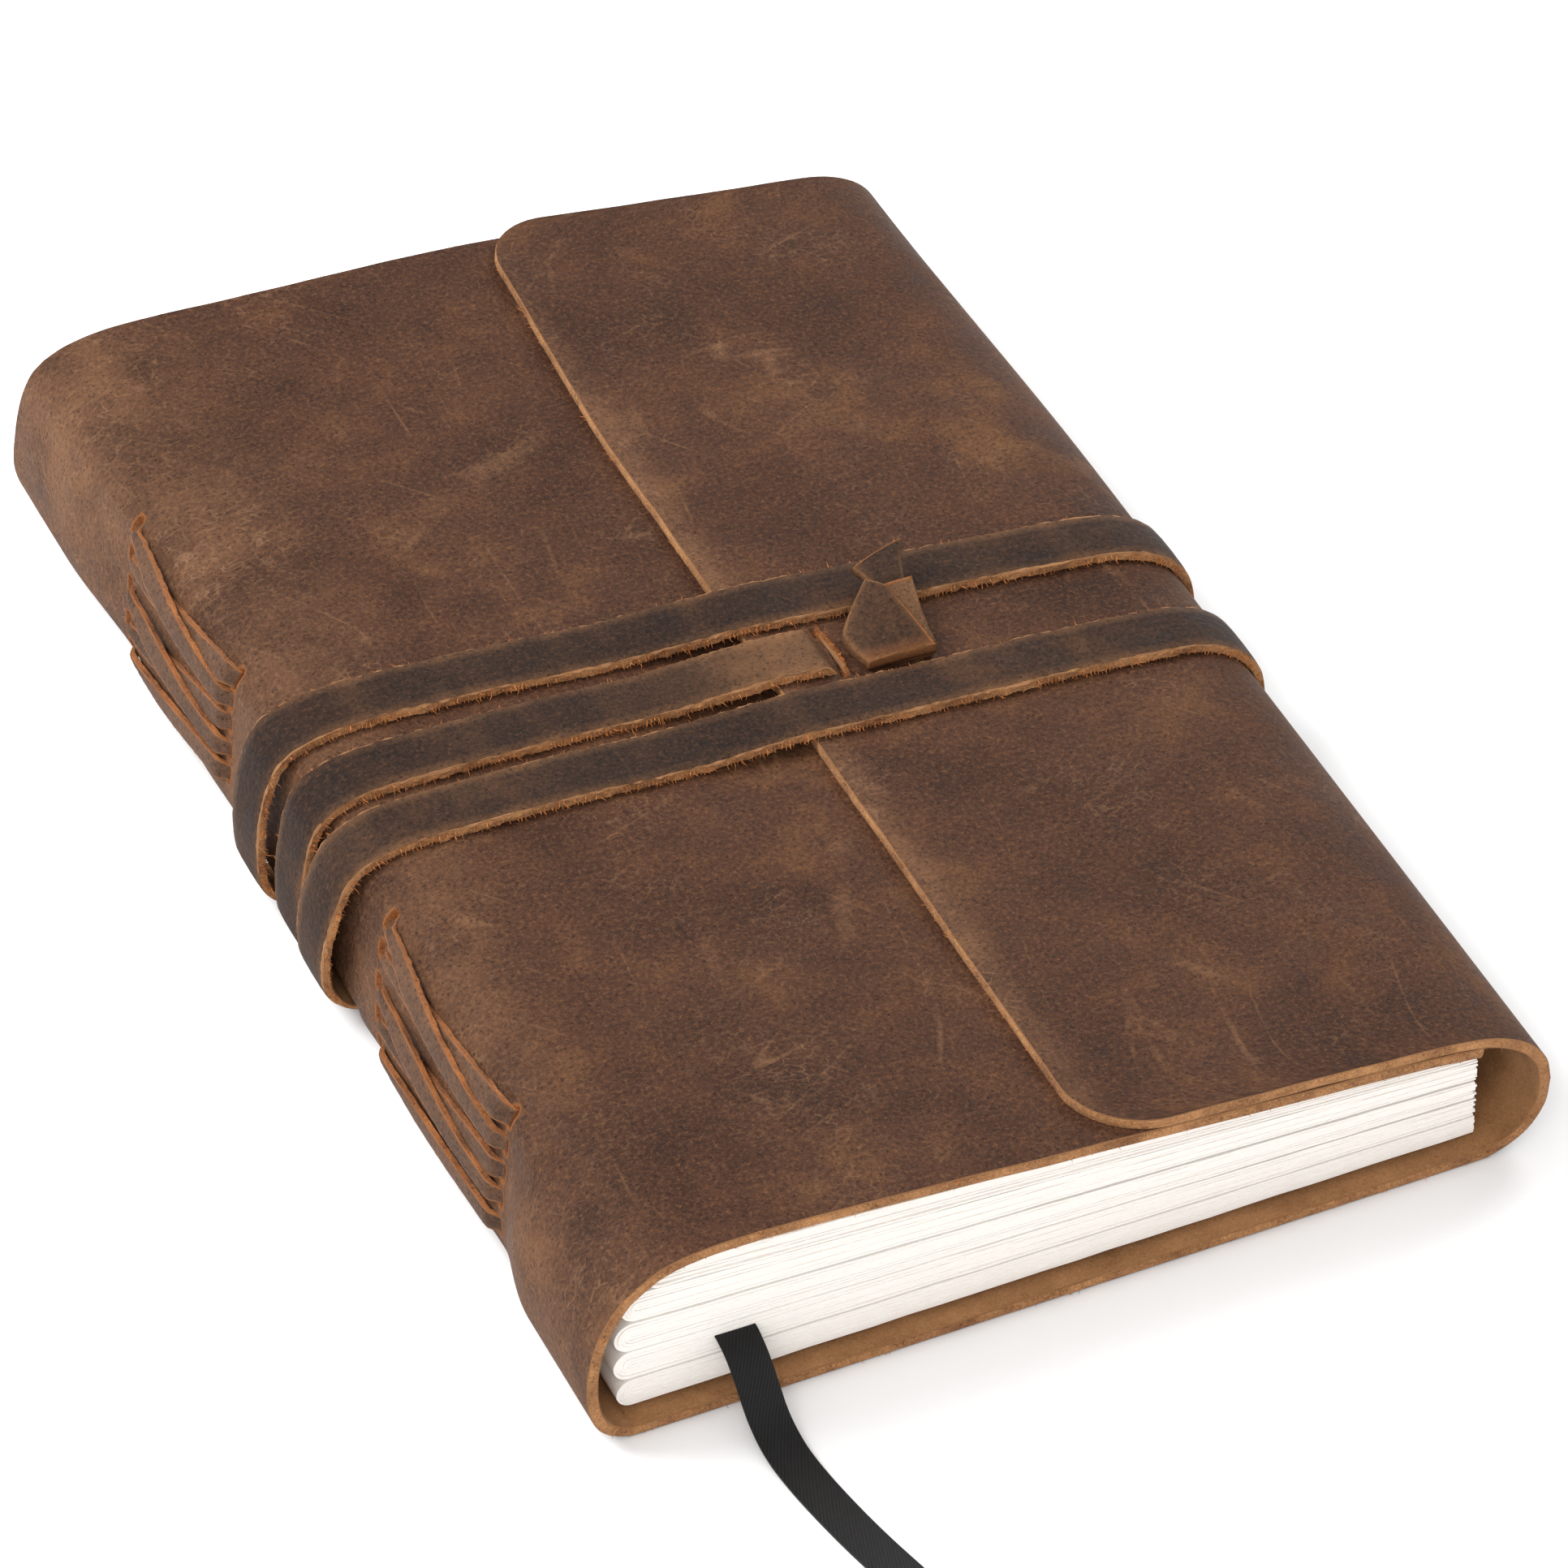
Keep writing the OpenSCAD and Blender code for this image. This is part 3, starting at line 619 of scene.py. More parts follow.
def make_flap(materials, hair_material, ys, back_length):
    """The upper half of the fore-edge fold and the flap, with its round corners."""
    def spacing(x):
        return 0.7 if x > 58 else 1.1 if x > 14.5 else 0.3 if x > 10 else 0.6
    rows, along = sampled(FLAP, FLAP, ys, spacing)
    total = along[-1]
    out = []
    for i, y in enumerate(ys):
        near = max(0.0, abs(y) - (HALF_H - FLAP_CORNER))
        cut_back = FLAP_CORNER - math.sqrt(max(0.0, FLAP_CORNER ** 2 - near * near))
        edge = total - cut_back + 0.6 * wobble(y / 30, 7) - 2.8 * smooth(50, 110, y)
        at = along * edge / total
        out.append(np.column_stack([np.interp(at, along, rows[i][:, 0]), np.interp(at, along, rows[i][:, 1])]))
    rows = np.array(out)
    normal = normals_of(rows)
    relief = 0.8 * relief_of(rows, ys)
    edge_lift = 0.5 * np.exp(-((rows[..., 0] - 3) / 8) ** 2) * smooth(60, HALF_H, ys)[:, None]
    rows = rows + normal * ((relief + edge_lift) * (1 - smooth(55, 68, rows[..., 0])))[..., None]
    slit_y = np.maximum(np.abs(ys - STRAP_TURNS[0][0]) - STRAP_W / 2 - 0.3, 0)[:, None]
    ragged = np.array([0.5 * wobble(y * 0.7, 3) - 0.02 * (y - STRAP_TURNS[0][0]) ** 2 for y in ys])[:, None]
    far = np.hypot(slit_y, rows[..., 0] - SLIT_X - 0.7 - ragged * (slit_y == 0))
    slit = 1 - smooth(0.25, 0.6, far)
    lip = (1 - smooth(0.55, 1.1, far)) * smooth(SLIT_X + 0.4, SLIT_X + 0.8, rows[..., 0])
    rows = rows + normal * (0.35 * lip * (1 - slit) - 1.5 * slit)[..., None]
    out_y = ys[:, None] + 1.5 * smooth(60, HALF_H, ys)[:, None] * (1 - smooth(0, 60, rows[..., 0]))
    outer = in_space(rows, out_y)
    wear_and_painted_light = bend_wear_and_painted_light(rows, ys) + 0.5 * np.exp(-((rows[..., 0] - 2) / 3) ** 2)
    lip_at = [(i, j) for i in range(len(ys)) for j in range(len(along)) if lip[i, j] > 0.5]
    slit_roots = [outer[i, j] for i, j in lip_at for _ in range(5)]
    made = leather_sheet("cover_flap", outer, normal, along + back_length, ys, wear_and_painted_light, np.maximum(slit, 0.8 * lip),
                         ("low", "high", "last"), materials, hair_material)
    made.append(hairs("slit_fibres", slit_roots, rng.normal((-0.6, 0, 0.5), 0.5, (len(slit_roots), 3)),
                      rng.gamma(2.0, 0.16, len(slit_roots)), hair_material, 0.06))
    for piece in made:
        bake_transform(piece)
    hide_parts("flap")


# ---- places on the hide's outer face

def front_height(x, y):
    """Height of what shows on the front at x and y: the flap, or the front cover beside it."""
    c = outline(FRONT_END, FRONT_LACED, y, 0.5)[::-1]
    cover = np.interp(x, c[:, 0], c[:, 1])
    f = curve_through(FLAP, 0.5)[::-1]
    f = f[f[:, 1] > 23.5]
    flap = np.interp(x, f[:, 0], f[:, 1])
    on_flap = smooth(-34.0, 0.6, x)
    return cover * (1 - on_flap) + flap * on_flap + top_relief(x, y) * (0.8 if x > 1 else 1.0)


def spine_at(z, y):
    """The outer face of the spine at height z: its x, and its outward normal."""
    c = np.vstack([outline(FRONT_END, FRONT_LACED, y, 0.3)[-40:], outline(BACK_END, BACK_LACED, y, 0.3)[1:130]])
    k = int(np.argmin(np.abs(c[:, 1] - z) + (c[:, 0] > -60) * 50))
    d = unit(c[min(k + 3, len(c) - 1)] - c[max(k - 3, 0)])
    return c[k][0], np.array([d[1], 0, -d[0]])


# ---- bands: the strap and the thongs

def band_section(width, thickness, index, roughness):
    """One cross-section of a leather band, as (across, up) pairs, with rough cut sides."""
    half = width / 2

    def rough(k, seed):
        return roughness * (wobble(index * 0.37, k, seed) * 1.5 + wobble(index * 0.05, k / 9, seed + 3) * 1.2)

    edge = 0.22 + 0.5 * rough(1, 30)
    top = [(-half + edge, thickness - 0.04), (-half * 0.6, thickness + 0.08), (0, thickness + 0.12),
           (half * 0.6, thickness + 0.08), (half - edge, thickness - 0.04)]
    right = [(half + rough(k, 9), thickness * t) for k, t in enumerate((0.85, 0.6, 0.35, 0.12))]
    bottom = [(half - 0.3, 0.0), (0, 0.0), (-half + 0.3, 0.0)]
    left = [(-half - rough(k, 19), thickness * t) for k, t in enumerate((0.12, 0.35, 0.6, 0.85))]
    return top + right + bottom + left


TOP_COUNT, SIDE_COUNT, BOTTOM_COUNT = 5, 4, 3
BAND_RING = TOP_COUNT + 2 * SIDE_COUNT + BOTTOM_COUNT
# The material of each strip of faces round a band
BAND_KINDS = ([GRAIN] * (TOP_COUNT - 1) + [CUT] * (SIDE_COUNT + 1) + [FLESH] * (BOTTOM_COUNT - 1)
              + [CUT] * (SIDE_COUNT + 1))


def band(name, centres, across, up, widths, thicknesses, materials, offset, wear_and_painted_light=None, roughness=0.6):
    """A closed leather band. centres, across and up give each station's frame, at the band's inner face; offset is
    its place in the leather's pattern."""
    count = len(centres)
    points, hide, wear_and_painted_light_rows = [], [], []
    run = arc_lengths(centres)
    for i in range(count):
        ring = band_section(widths[i], thicknesses[i], i + offset, roughness)
        for j, (a, b) in enumerate(ring):
            points.append(centres[i] + across[i] * a + up[i] * b)
            side = TOP_COUNT <= j < TOP_COUNT + SIDE_COUNT or j >= BAND_RING - SIDE_COUNT
            hide.append((run[i] + offset, a + offset, b + (20 if side else 0)))
            wear_and_painted_light_rows.append((0 if wear_and_painted_light is None else wear_and_painted_light[i]) + (0.5 if j in (0, TOP_COUNT - 1) else 0))
    faces = [(a, d, c, b) for a, b, c, d in grid_faces(count, BAND_RING, wrap=True)] + end_caps(count, BAND_RING)
    kinds = BAND_KINDS * (count - 1) + [CUT, CUT]
    return build(name, points, faces, kinds, materials, hide, wear_and_painted_light_rows)


def outward(made):
    """Turns the mesh's faces outward."""
    b = bmesh.new()
    b.from_mesh(made.data)
    bmesh.ops.recalc_face_normals(b, faces=b.faces)
    b.to_mesh(made.data)
    b.free()
    return made


def hairs(name, roots, directions, lengths, material, radius):
    """Short fibres that stand out of a cut edge, each a bent three-sided spike."""
    points, faces, hide = [], [], []
    for root, direction, length in zip(roots, directions, lengths):
        d = unit(direction)
        side = unit(np.cross(d, (0.3, 0.5, 0.8)))
        other = np.cross(d, side)
        bend = side * rng.normal(0, 0.3) * length + other * rng.normal(0, 0.3) * length
        start = len(points)
        for share, r in ((-0.25, 1.0), (0.45, 0.7)):
            middle = root + d * length * share + bend * max(share, 0) ** 2
            for k in range(3):
                a = 2 * math.pi * k / 3
                points.append(middle + (side * math.cos(a) + other * math.sin(a)) * radius * r)
        points.append(root + d * length + bend)
        hide += [tuple(root)] * 7
        for k in range(3):
            m = (k + 1) % 3
            faces.append((start + k, start + m, start + 3 + m, start + 3 + k))
            faces.append((start + 3 + k, start + 3 + m, start + 6))
        faces.append((start + 2, start + 1, start))
    points = np.maximum(points, (-np.inf, -np.inf, 0.0))  # none goes below the floor
    return build(name, points, faces, [0] * len(faces), [material], hide)


def side_fibres(name, count, skip, frames, widths, thick, heights, tilt, sway, sizes, material, radius):
    """Fibres at the cut sides of a band, none of them near the floor or on its skip end stations. frames holds its
    centres, across, ups and run."""
    centres, across, ups, run = frames
    roots, ways, lengths = [], [], []
    for _ in range(count):
        i = int(rng.integers(skip, len(centres) - skip))
        if centres[i][2] < 3:
            continue
        sign = -1 if rng.random() < 0.5 else 1
        roots.append(centres[i] + across[i] * sign * widths[i] / 2 + ups[i] * thick[i] * rng.uniform(*heights))
        ways.append(across[i] * sign + ups[i] * rng.normal(*tilt) + run[i] * rng.normal(0, sway))
        lengths.append(min(1.5, rng.gamma(*sizes)))
    return hairs(name, roots, ways, lengths, material, radius)


# ---- the strap

SLIT_X = 11.6
# The Y of each of its three runs over the front, at the fore-edge side and at the spine side
STRAP_TURNS = ((-2.6, -3.2), (10.4, 11.8), (-15.8, -16.2))
# The Y at which it comes up round the fore-edge
FORE_Y = (8.2, -15.8)
# The X at which a run over the front starts and ends
FORE_X_TOP, SPINE_X_TOP = 61, -52
# The X at which a run under the back starts and ends, and at which the last one is tucked in
SPINE_X_LOW, FORE_X_LOW, TUCK_X = -61, 60, -15.0
STRAP_LEAN = 3.0


def over_front(start_x, end_x, y_start, y_end):
    """Stations across the front towards the spine, lying on what shows there."""
    xs = np.arange(start_x, end_x, -0.6)
    out = []
    for x in xs:
        share = (start_x - x) / (start_x - end_x)
        y = y_start + (y_end - y_start) * share + 0.35 * wobble(x / 16, y_start)
        z = front_height(x, y) + 0.1
        slope = (front_height(x - 1, y) - front_height(x + 1, y)) / 2
        n = np.array([slope, 0, 1.0])
        out.append((np.array([x, y, z]), unit(n), STRAP_T))
    return out


def down_spine(y, slack, lean):
    """Stations round the spine, from the top to the back."""
    c = outline(FRONT_END, FRONT_LACED, y, 0.6)
    c = c[c[:, 0] < SPINE_X_TOP - 0.5]
    d = outline(BACK_END, BACK_LACED, y, 0.6)
    d = d[d[:, 0] < SPINE_X_LOW - 1]
    return wrap(np.vstack([c, d[1:]]), y, slack, lean)


def up_fore(y):
    """Stations round the fore-edge, from the back up to the flap."""
    c = outline(BACK_END, BACK_LACED, y, 0.6)
    c = c[c[:, 0] > FORE_X_LOW + 1]
    f = curve_through(FLAP, 0.6)
    f = f[f[:, 0] > FORE_X_TOP + 1]
    return wrap(np.vstack([c, f[1:]]), y)


def wrap(path, y, slack=0.0, lean=0.0):
    """Stations along an outline. slack lets the strap stand off it; lean moves it along Y as it goes down."""
    along = np.gradient(path, axis=0)
    out = []
    for (x, z), (dx, dz) in zip(path, along):
        n = np.array([dz, 0, -dx]) / math.hypot(dx, dz)
        low = 1 - smooth(1.0, 7.0, z)
        thick = STRAP_T * (1 - low) + (PRESS - 0.2) * low
        off = slack * math.sin(math.pi * min(1.0, max(0.0, (z - 0.5) / 30))) ** 0.8
        down = lean * smooth(30, 3, z)
        centre = np.array([x, y + 0.3 * wobble(z / 8, y) + down, z]) + n * (0.1 + off - PRESS * low)
        out.append((centre, n, thick))
    return out


def under_back(y_start, y_end, end_x, layer):
    """Stations under the back; the layers share the thickness where they cross."""
    full = PRESS - 0.2
    out = []
    for x in np.arange(SPINE_X_LOW, end_x, 3.0):
        y = y_start + (y_end - y_start) * (x - SPINE_X_LOW) / (FORE_X_LOW - SPINE_X_LOW)
        crossing = layer > 0 and x < 30
        thick = full / 2 - 0.02 if crossing else full
        z = PRESS - 0.1 - (full / 2 + 0.02 if crossing and layer == 2 else 0)
        out.append((np.array([x, y, z]), np.array([0, 0, -1.0]), thick))
    return out


def make_strap(materials, hair_material):
    """The wound strap: three turns over the front, down the spine and under the back, as one band."""
    route = []
    starts = ((SLIT_X - 0.3, STRAP_TURNS[0][0]), (FORE_X_TOP, FORE_Y[0] + 0.2), (FORE_X_TOP, FORE_Y[1]))
    for turn, (start_x, start_y) in enumerate(starts):
        y = STRAP_TURNS[turn][1]
        lean = STRAP_LEAN if turn == 2 else 0.0
        route += over_front(start_x, SPINE_X_TOP, start_y, y) + down_spine(y, (1.8, 2.6, 2.8)[turn], lean)
        if turn < 2:
            route += under_back(y, FORE_Y[turn], FORE_X_LOW, turn + 1) + up_fore(FORE_Y[turn])
        else:
            route += under_back(y + lean, y, TUCK_X, 0)
    centres = np.array([r[0] for r in route])
    ups = np.array([r[1] for r in route])
    thick = np.array([r[2] for r in route])
    for _ in range(2):
        centres[2:-2] = (centres[1:-3] + 2 * centres[2:-2] + centres[3:-1]) / 4
        ups[1:-1] = ups[:-2] + 2 * ups[1:-1] + ups[2:]
        ups = unit(ups)
    run = np.gradient(centres, axis=0)
    across = unit(np.cross(ups, run))
    widths = STRAP_W + 0.5 * np.array([wobble(i * 0.11, 3) for i in range(len(route))])
    worn_and_painted_light = 0.5 * np.array([max(0.0, wobble(i * 0.06, 11)) for i in range(len(route))])
    worn_and_painted_light += 0.8 * np.exp(-((np.arange(len(route)) - 10) / 26.0) ** 2)
    dip = np.clip(1 - np.arange(len(route)) / 4.0, 0, 1)
    centres[:, 2] -= 2.6 * dip ** 1.5
    strap = outward(band("strap_wound_band", centres, across, ups, widths, thick, materials, 700, worn_and_painted_light))
    fringe = side_fibres("strap_fibres", 9000, 1, (centres, across, ups, run), widths, thick, (0.02, 0.75),
                         (-0.25, 0.5), 0.4, (1.7, 0.22), hair_material, 0.08)
    for piece in (strap, fringe):
        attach(piece, "book")
        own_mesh(piece)
    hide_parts("strap_wound")


def make_strap_root(materials):
    """The strap's short run through the two slits."""
    y = STRAP_TURNS[0][0]
    top = front_height(SLIT_X, y)
    under = front_height(17, y) - LEATHER_T - 0.35
    path = [(SLIT_X + 0.5, top - 0.4), (SLIT_X + 0.6, top - 1.2), (SLIT_X + 1.4, under),
            (17, under), (21, under - 0.3), (22.3, under + 0.6), (22.6, top - 0.3), (22.6, top + 1.2)]
    line = curve_through(path, 0.5)
    along = np.gradient(line, axis=0)
    ups = unit(np.array([(-dz, 0, dx) for dx, dz in along]))
    centres = np.array([(x, y, z) for x, z in line])
    across = np.tile((0.0, 1.0, 0.0), (len(line), 1))
    ends = np.linspace(0, 1, len(line))
    made = outward(band("strap_under_flap", centres, across, ups, np.full(len(line), 9.8),
                        0.7 + 0.5 * (np.abs(ends - 0.5) > 0.42), materials, 1100))
    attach(made, "flap")
    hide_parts("strap_root")


def knot_layers(base):
    """Each layer of the knot: its left and right edges from the bottom up, its crown, its depth."""
    return {
        "knot_body": ([(15.9, -7.9, base + 0.6), (20.9, 4.3, base + 3.6)],
                      [(26.0, -8.5, base + 0.6), (27.2, 2.9, base + 3.4)], 0.4, 2.2),
        "knot_fold": ([(24.6, -8.7, base + 2.4), (22.4, 2.2, base + 6.3)],
                      [(26.7, -8.9, base + 1.9), (26.9, -3.6, base + 3.7), (28.1, 3.2, base + 5.6)], 0.55, 1.7),
        "knot_front": ([(15.5, -9.0, base + 2.4), (14.5, -4.6, base + 2.6), (14.7, -1.6, base + 2.9),
                        (17.6, 1.6, base + 4.6), (21.2, 5.0, base + 6.0)],
                       [(26.1, -9.6, base + 2.7), (24.7, -4.2, base + 4.9), (22.8, 1.5, base + 6.9)], 0.9, 2.3),
        "knot_end": ([(22.2, 3.4, base + 5.2), (21.9, 6.0, base + 5.5), (21.0, 8.8, base + 5.9)],
                     [(26.6, 2.6, base + 5.2), (28.0, 7.0, base + 5.7), (30.1, 11.2, base + 6.3)], 0.8, 1.4),
    }


KNOT_STEPS = 20  # faces along each side of a layer
# Which sides of each layer are cut edges: 0 is its bottom, 1 its right, 2 its top, 3 its left
CUT_SIDES = {"knot_end": (2,), "knot_fold": (2,), "knot_front": (1,)}


def make_knot(materials, hair_material):
    """The folded stopper knot: a rear body, a right-hand fold, a diagonal front wrap and a flared end."""
    base = front_height(21, -3)
    for k, (name, (left, right, crown, depth)) in enumerate(knot_layers(base).items()):
        steps = KNOT_STEPS
        side = steps + 1
        shares = np.linspace(0, 1, side)
        edges = []
        for edge in (left, right):
            line = curve_through(edge, 0.2)
            at = np.linspace(0, 1, len(line))
            edges.append(np.column_stack([np.interp(shares, at, line[:, c]) for c in range(3)]))
        top = edges[0][:, None] * (1 - shares[None, :, None]) + edges[1][:, None] * shares[None, :, None]
        n = unit(np.cross(top[0, -1] - top[0, 0], top[-1, 0] - top[0, 0]))
        swell = np.sin(math.pi * shares)[None, :] ** 0.6 * (0.35 + 0.65 * np.sin(math.pi * shares)[:, None] ** 0.5)
        top = top + n * (crown * swell)[..., None]
        top = top + n * np.array([[0.18 * wobble(i * 0.16, j * 0.16, k) for j in range(side)]
                                  for i in range(side)])[..., None]
        if name == "knot_end":
            curl = shares[None, ::-1] ** 3 * shares[:, None]
            top = top - n * (curl * 0.6)[..., None]
        bottom = top - n * depth
        points = np.vstack([top.reshape(-1, 3), bottom.reshape(-1, 3)])
        faces = grid_faces(side, side) + grid_faces(side, side, side * side, flip=True)
        kinds = [GRAIN] * len(faces)
        loop = list(range(side)) + [i * side + steps for i in range(1, side)]
        loop += [steps * side + j for j in range(steps - 1, -1, -1)] + [i * side for i in range(steps - 1, 0, -1)]
        below = [v + side * side for v in loop]
        middle = points[loop].mean(0) - n * depth / 2
        first = len(points)
        for share, grow in ((0.2, 0.22), (0.5, 0.32), (0.8, 0.22)):
            ring = points[loop] * (1 - share) + points[below] * share
            away = ring - middle
            away -= np.outer(away @ n, n)
            points = np.vstack([points, ring + unit(away) * grow])
        count = len(loop)
        levels = [loop, *[list(range(first + q * count, first + (q + 1) * count)) for q in range(3)], below]
        faces += skirt([level + level[:1] for level in levels])
        cut_sides = CUT_SIDES.get(name, ())
        kinds += [CUT if m // steps in cut_sides else GRAIN for m in range(count)] * (len(levels) - 1)
        # Paler along each layer's edges and bevelled rim: a painted highlight, the light rim along the top edges
        # and the fold's lip. The fold is paler all over.
        edge = np.zeros(len(points))
        across = 0.5 * np.abs(np.linspace(-1, 1, side)) ** 6
        edge[:side * side] = (across[None, :] + (0.9 if name == "knot_fold" else 0.1)).repeat(side, 0).ravel()
        edge[loop] = 1.0
        edge[first:] = 0.6
        rust = np.zeros(len(points))
        rust[:side * side] = (0.28 * (1 - smooth(0.0, 0.20, shares)) * (name == "knot_front")).repeat(side)
        rust[first:first + steps] = rust[first + count:first + count + steps] = 0.3
        for q in cut_sides:
            rust[loop[q * steps:(q + 1) * steps + 1]] = 1.0
        hide = points * (1, 1, 2) + (900 + 30 * k, 0, 0)
        made = outward(build(name, points, faces, kinds, materials, hide, edge, rust))
        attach(made, "flap")
        if name == "knot_body":
            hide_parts("strap_knot")
        if name == "knot_end":
            rim = points[loop][2 * steps:3 * steps]
            roots = [rim[int(rng.integers(0, len(rim)))] - n * rng.uniform(0, depth) for _ in range(60)]
            ways = [(0.1, 1.0, 0.0) + rng.normal(0, 0.4, 3) for _ in roots]
            fringe = hairs("knot_fibres", roots, ways, rng.gamma(2.0, 0.12, len(roots)), hair_material, 0.06)
            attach(fringe, "flap")


# ---- the lacing

def make_thong(group, k, materials, hair_material):
    """One thong: out of its upper hole, along the spine, and in at a lower hole."""
    upper_hole, lower_hole, bulge = CROSSING[k]
    (y_up, upper), (y_low, lower) = LACING[group]["upper"], LACING[group]["lower"]
    z_up, z_low = upper[upper_hole - 1], lower[lower_hole - 1]
    count = 60
    centres, ups, widths = [], [], []
    for i in range(count):
        t = i / (count - 1)
        y = y_up + (y_low - y_up) * t
        z = z_up + (z_low - z_up) * (smooth(0.0, 1.0, t) + t) / 2
        x, n = spine_at(z, y)
        dive = math.exp(-(t / 0.035) ** 2) + math.exp(-((1 - t) / 0.03) ** 2)
        out = -0.15 + bulge * math.sin(math.pi * t) ** 0.9 - 1.6 * dive
        narrow = 1 - 0.25 * math.exp(-((1 - t) / 0.04) ** 2)
        tilt = math.radians(20 if k else 0) * smooth(0.9, 0.0, t)
        centres.append(np.array([x, y, z]) + n * out)
        ups.append(n * math.cos(tilt) + np.cross((0, 1, 0), n) * math.sin(tilt))
        widths.append(THONG_W * (0.42 + 0.58 * smooth(0.0, 0.38, t)) * narrow)
    centres, ups = np.array(centres), np.array(ups)
    run = np.gradient(centres, axis=0)
    across = unit(np.cross(run, ups))
    thick = np.ones(count)
    made = outward(band(f"{group}_thong_{k + 1}_band", centres, across, ups, widths, thick, materials,
                        1300 + 60 * k, np.full(count, 0.75), 0.24))
    fringe = side_fibres(f"{group}_thong_{k + 1}_fibres", 70, 4, (centres, across, ups, run), widths, thick,
                         (0.2, 0.9), (0, 0.5), 0.3, (2.0, 0.11), hair_material, 0.04)
    for piece in (made, fringe):
        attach(piece, "book")
    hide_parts(f"{group}_thong_{k + 1}")


# ---- the pages

LEAVES = 5
# Middle height and half thickness of each signature at its fold, and the x of its nose, from the back
SIGNATURES = ((5.2, 2.45, -71.2), (10.6, 2.6, -71.6), (15.9, 2.6, -71.4), (21.3, 2.6, -70.3), (26.4, 2.35, -66.5))
PAGE_END_X = FORE_X - 10.6
PAGE_LOW, PAGE_TOP = 2.6, 20.0


def make_signature(k, material):
    """One signature: nested folded sheets, each a little out of line with the next."""
    z_nose, half, x_nose = SIGNATURES[k]
    share_z = (PAGE_TOP - PAGE_LOW) / len(SIGNATURES)
    end_middle, end_half = PAGE_LOW + share_z * (k + 0.5), share_z / 2 - 0.17
    bend_x = x_nose + half
    points, faces, hide = [], [], []
    long_offset = wobble(k * 3.3, 1.7)
    for leaf in range(LEAVES):
        inset = half * leaf / LEAVES
        sheet = half / LEAVES * 0.985
        reach = PAGE_END_X + rng.normal(0, 0.28) + long_offset
        tail = -PAGE_H + 0.6 + rng.normal(0, 0.07) + 0.5 * wobble(k * 1.9, 6.1)

        def limb(from_x, to_x, side):
            """One side of the sheet, between its fold and its free end."""
            out = []
            for x in np.linspace(from_x, to_x, 26):
                u = (x - bend_x) / (reach - bend_x)
                out.append((x, z_nose + (end_middle - z_nose) * u + side * (half + (end_half - half) * u)))
            return out

        lines = []
        for depth in (inset, inset + sheet):
            r = half - depth
            nose = [(bend_x + r * math.cos(a), z_nose + r * math.sin(a))
                    for a in np.radians(np.linspace(-90, -270, 15)[1:])]
            lines.append(limb(reach, bend_x, -r / half) + nose + limb(bend_x, reach, r / half)[1:])
        around = lines[0] + lines[1][::-1]
        size = len(lines[0])
        start = len(points)
        ys = np.concatenate([[0, 0.12], np.linspace(0.4, 2 * PAGE_H - 1.0, 9), [2 * PAGE_H - 0.6]])
        for i, y in enumerate(ys):
            for j, (x, z) in enumerate(around):
                ragged = 0.30 * wobble(x / 9, k * 5 + leaf, 2) + 0.10 * wobble(x / 1.3, k * 7 + leaf, 4)
                pull = 0.03 * (1 if j < size else -1) if i in (0, len(ys) - 1) else 0.0
                points.append((x, tail + y + ragged, z + (pull if z < z_nose else -pull)))
                hide.append((x + 30 * k, tail + y, z * 2 + leaf * 3))
        ring = len(around)
        faces += grid_faces(len(ys), ring, start, wrap=True)
        for j in range(size - 1):
            a, b = start + j, start + j + 1
            c, d = start + ring - 2 - j, start + ring - 1 - j
            faces.append((d, c, b, a))
            top = (len(ys) - 1) * ring
            faces.append((a + top, b + top, c + top, d + top))
    made = outward(build(f"signature_{k + 1}_sheets", points, faces, [0] * len(faces), [material], hide))
    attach(made, "book")
    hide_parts(f"signature_{k + 1}")


# ---- the ribbon

RIBBON_W = 6.2
RIBBON_X = -53.0
# Its route outside the pages
RIBBON_FREE = [(-53, -113.5, 10.6), (-52.9, -115.5, 9.4), (-52.8, -117.5, 7.6), (-52.7, -119.5, 5.4),
               (-52.6, -121.5, 3.4), (-52.4, -124, 1.7), (-52.2, -127, 0.8), (-51.9, -130, 0.4),
               (-51.4, -134, 0.25), (-50.8, -138, 0.25), (-50.1, -142, 0.25), (-49.3, -146, 0.25),
               (-48.4, -150, 0.25), (-47.4, -154, 0.25), (-46.4, -158, 0.25), (-45.4, -162, 0.25)]


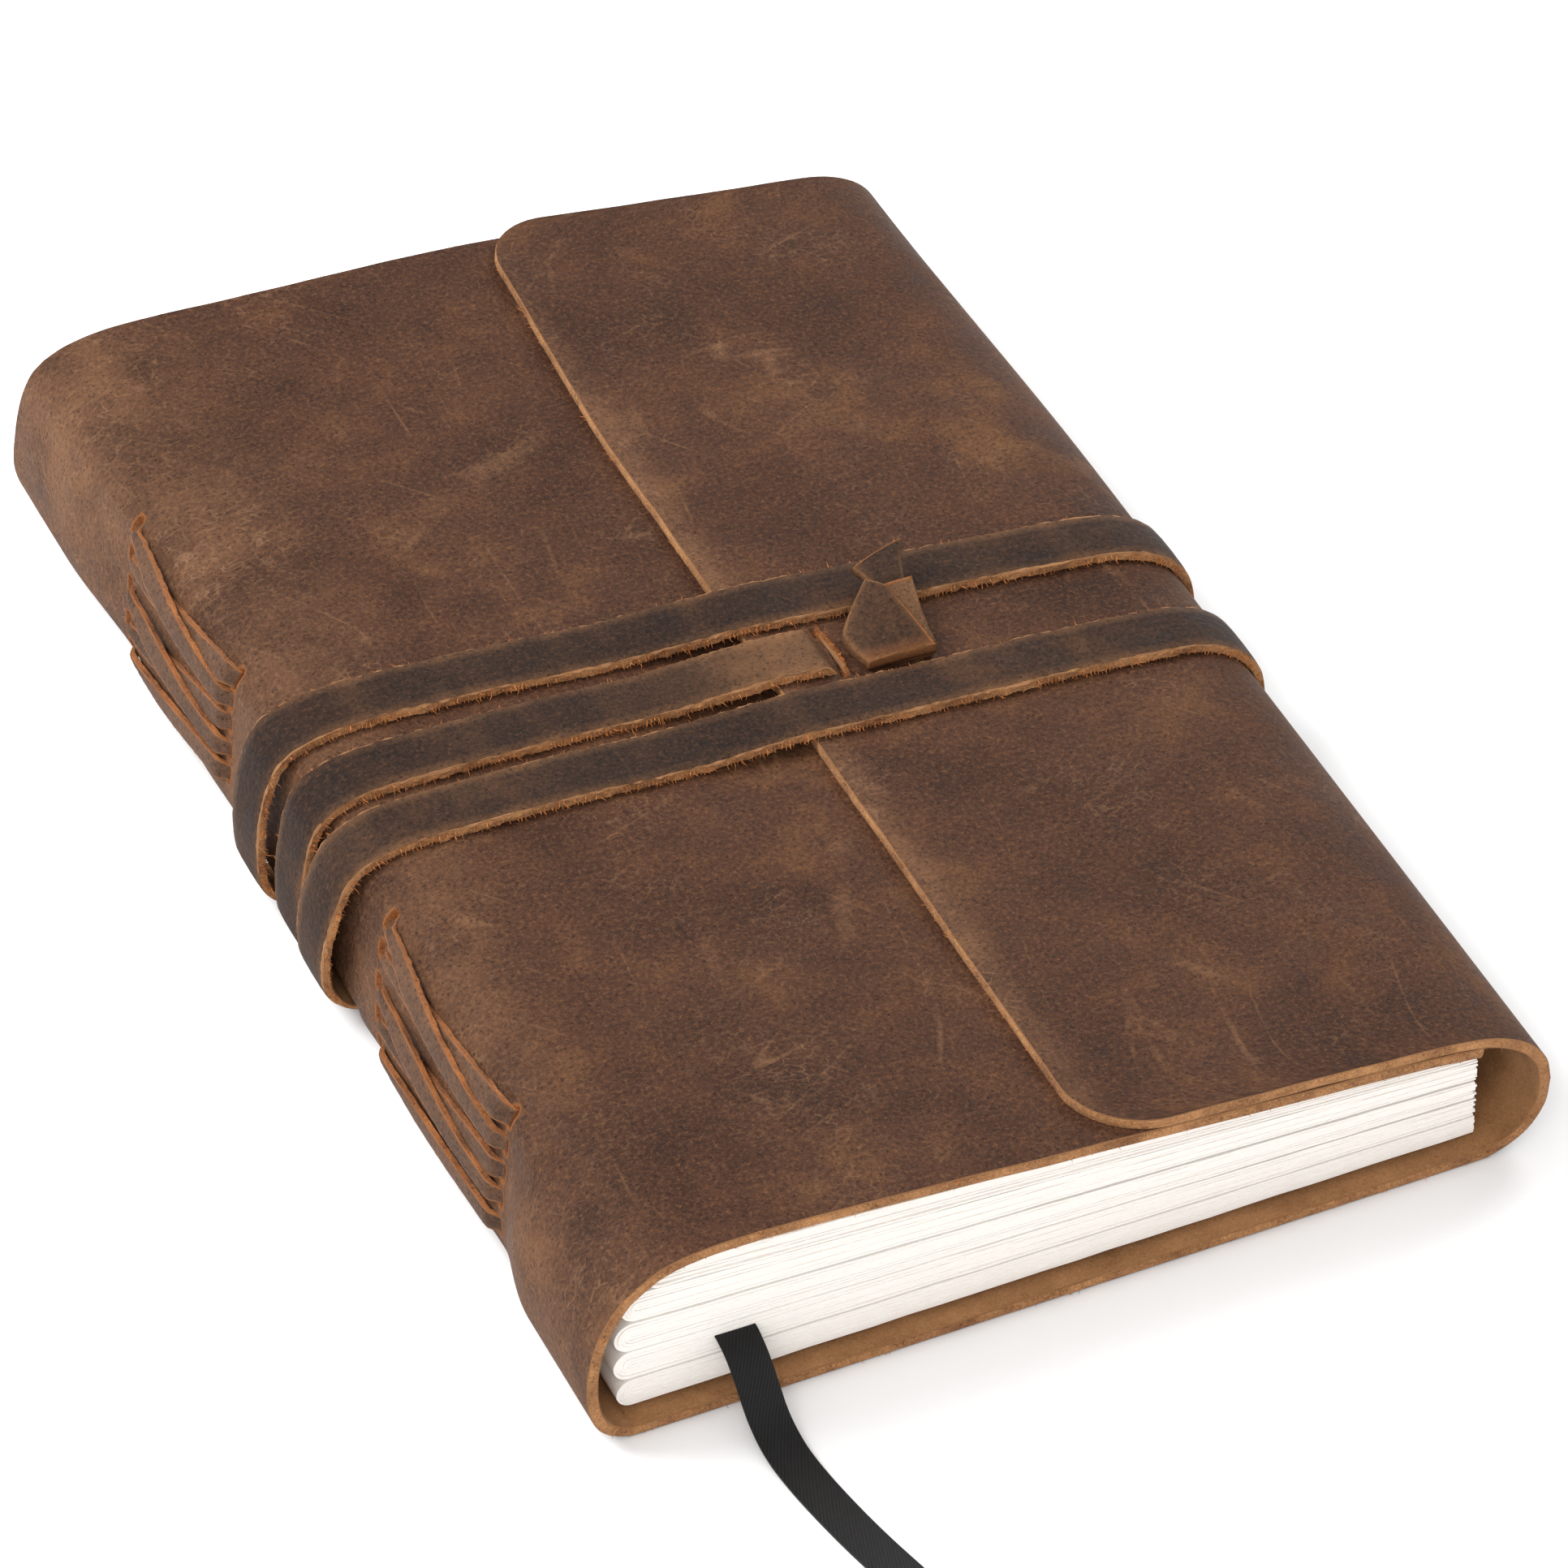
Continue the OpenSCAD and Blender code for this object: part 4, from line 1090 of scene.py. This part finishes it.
def ribbon_mesh(name, line, material, thickness=0.34):
    """A flat satin band along a line of points, with thicker selvedges."""
    line = np.asarray(line, float)
    run = unit(np.gradient(line, axis=0))
    side = unit(np.column_stack([-run[:, 1], run[:, 0], np.zeros(len(run))]))
    up = np.cross(run, side)
    up *= np.sign(up[:, 2:3] + 1e-9)
    profile = [(t, 0.5 + 0.12 * (abs(t) > 0.8)) for t in np.linspace(-1, 1, 9)]
    ring = profile + [(t, -h) for t, h in reversed(profile)]
    length = arc_lengths(line)
    points, hide = [], []
    for i, p in enumerate(line):
        for t, h in ring:
            points.append(p + side[i] * t * RIBBON_W / 2 + up[i] * h * thickness / 1.24)
            hide.append((length[i], t * RIBBON_W / 2, h))
    count = len(ring)
    faces = grid_faces(len(line), count, wrap=True) + end_caps(len(line), count)
    return outward(build(name, points, faces, [0] * len(faces), [material], hide))


def make_ribbon(material):
    z_exit = float(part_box("ribbon_inside")[1].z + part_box("ribbon_inside")[0].z) / 2 / MM
    exit_point = (RIBBON_X, -PAGE_H, z_exit)
    line = curve_through([exit_point] + RIBBON_FREE, 0.7)
    free = ribbon_mesh("ribbon_tail", line, material)
    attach(free, "book")
    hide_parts("ribbon_marker")
    inside = [(RIBBON_X, y, z_exit) for y in np.linspace(-PAGE_H + 0.01, PAGE_H - 8, 60)]
    hidden = ribbon_mesh("ribbon_between_pages", inside, material, 0.3)
    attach(hidden, "book")
    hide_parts("ribbon_inside")


# ---- the whole

make_camera()
make_ribbon(satin_material())
make_stage()

hide_grain = grain_leather("hide_grain", (47, 28, 20), (72, 46, 33), (110, 76, 49), (116, 83, 60))
strap_grain = grain_leather("strap_grain", (28, 20, 17), (48, 33, 26), (84, 58, 40), (122, 86, 57), 0.25)
flesh = flesh_leather("flesh_side", (134, 92, 54), (184, 134, 88))
cut_edge = flesh_leather("cut_edge", (100, 60, 33), (198, 144, 94))
fibre = flesh_leather("fibres", (150, 84, 40), (214, 138, 78), 0.6)
hide_set = [hide_grain, flesh, cut_edge]
strap_set = [strap_grain, flesh, cut_edge]
thong_grain = grain_leather("thong_grain", (44, 31, 25), (66, 46, 35), (98, 70, 50), (104, 76, 58), 0.2)
thong_set = [thong_grain, flesh, flesh_leather("thong_edge", (88, 50, 25), (186, 118, 66))]

row_places = rows_along_y()
back_end = make_back(hide_set, fibre, row_places)
make_front(hide_set, fibre, row_places)
make_flap(hide_set, fibre, row_places, back_end)
paper = paper_material()
for number in range(len(SIGNATURES)):
    make_signature(number, paper)
for group_name in LACING:
    for number in range(len(CROSSING)):
        make_thong(group_name, number, thong_set, fibre)
make_strap(strap_set, fibre)
make_strap_root(strap_set)
make_knot(strap_set, fibre)
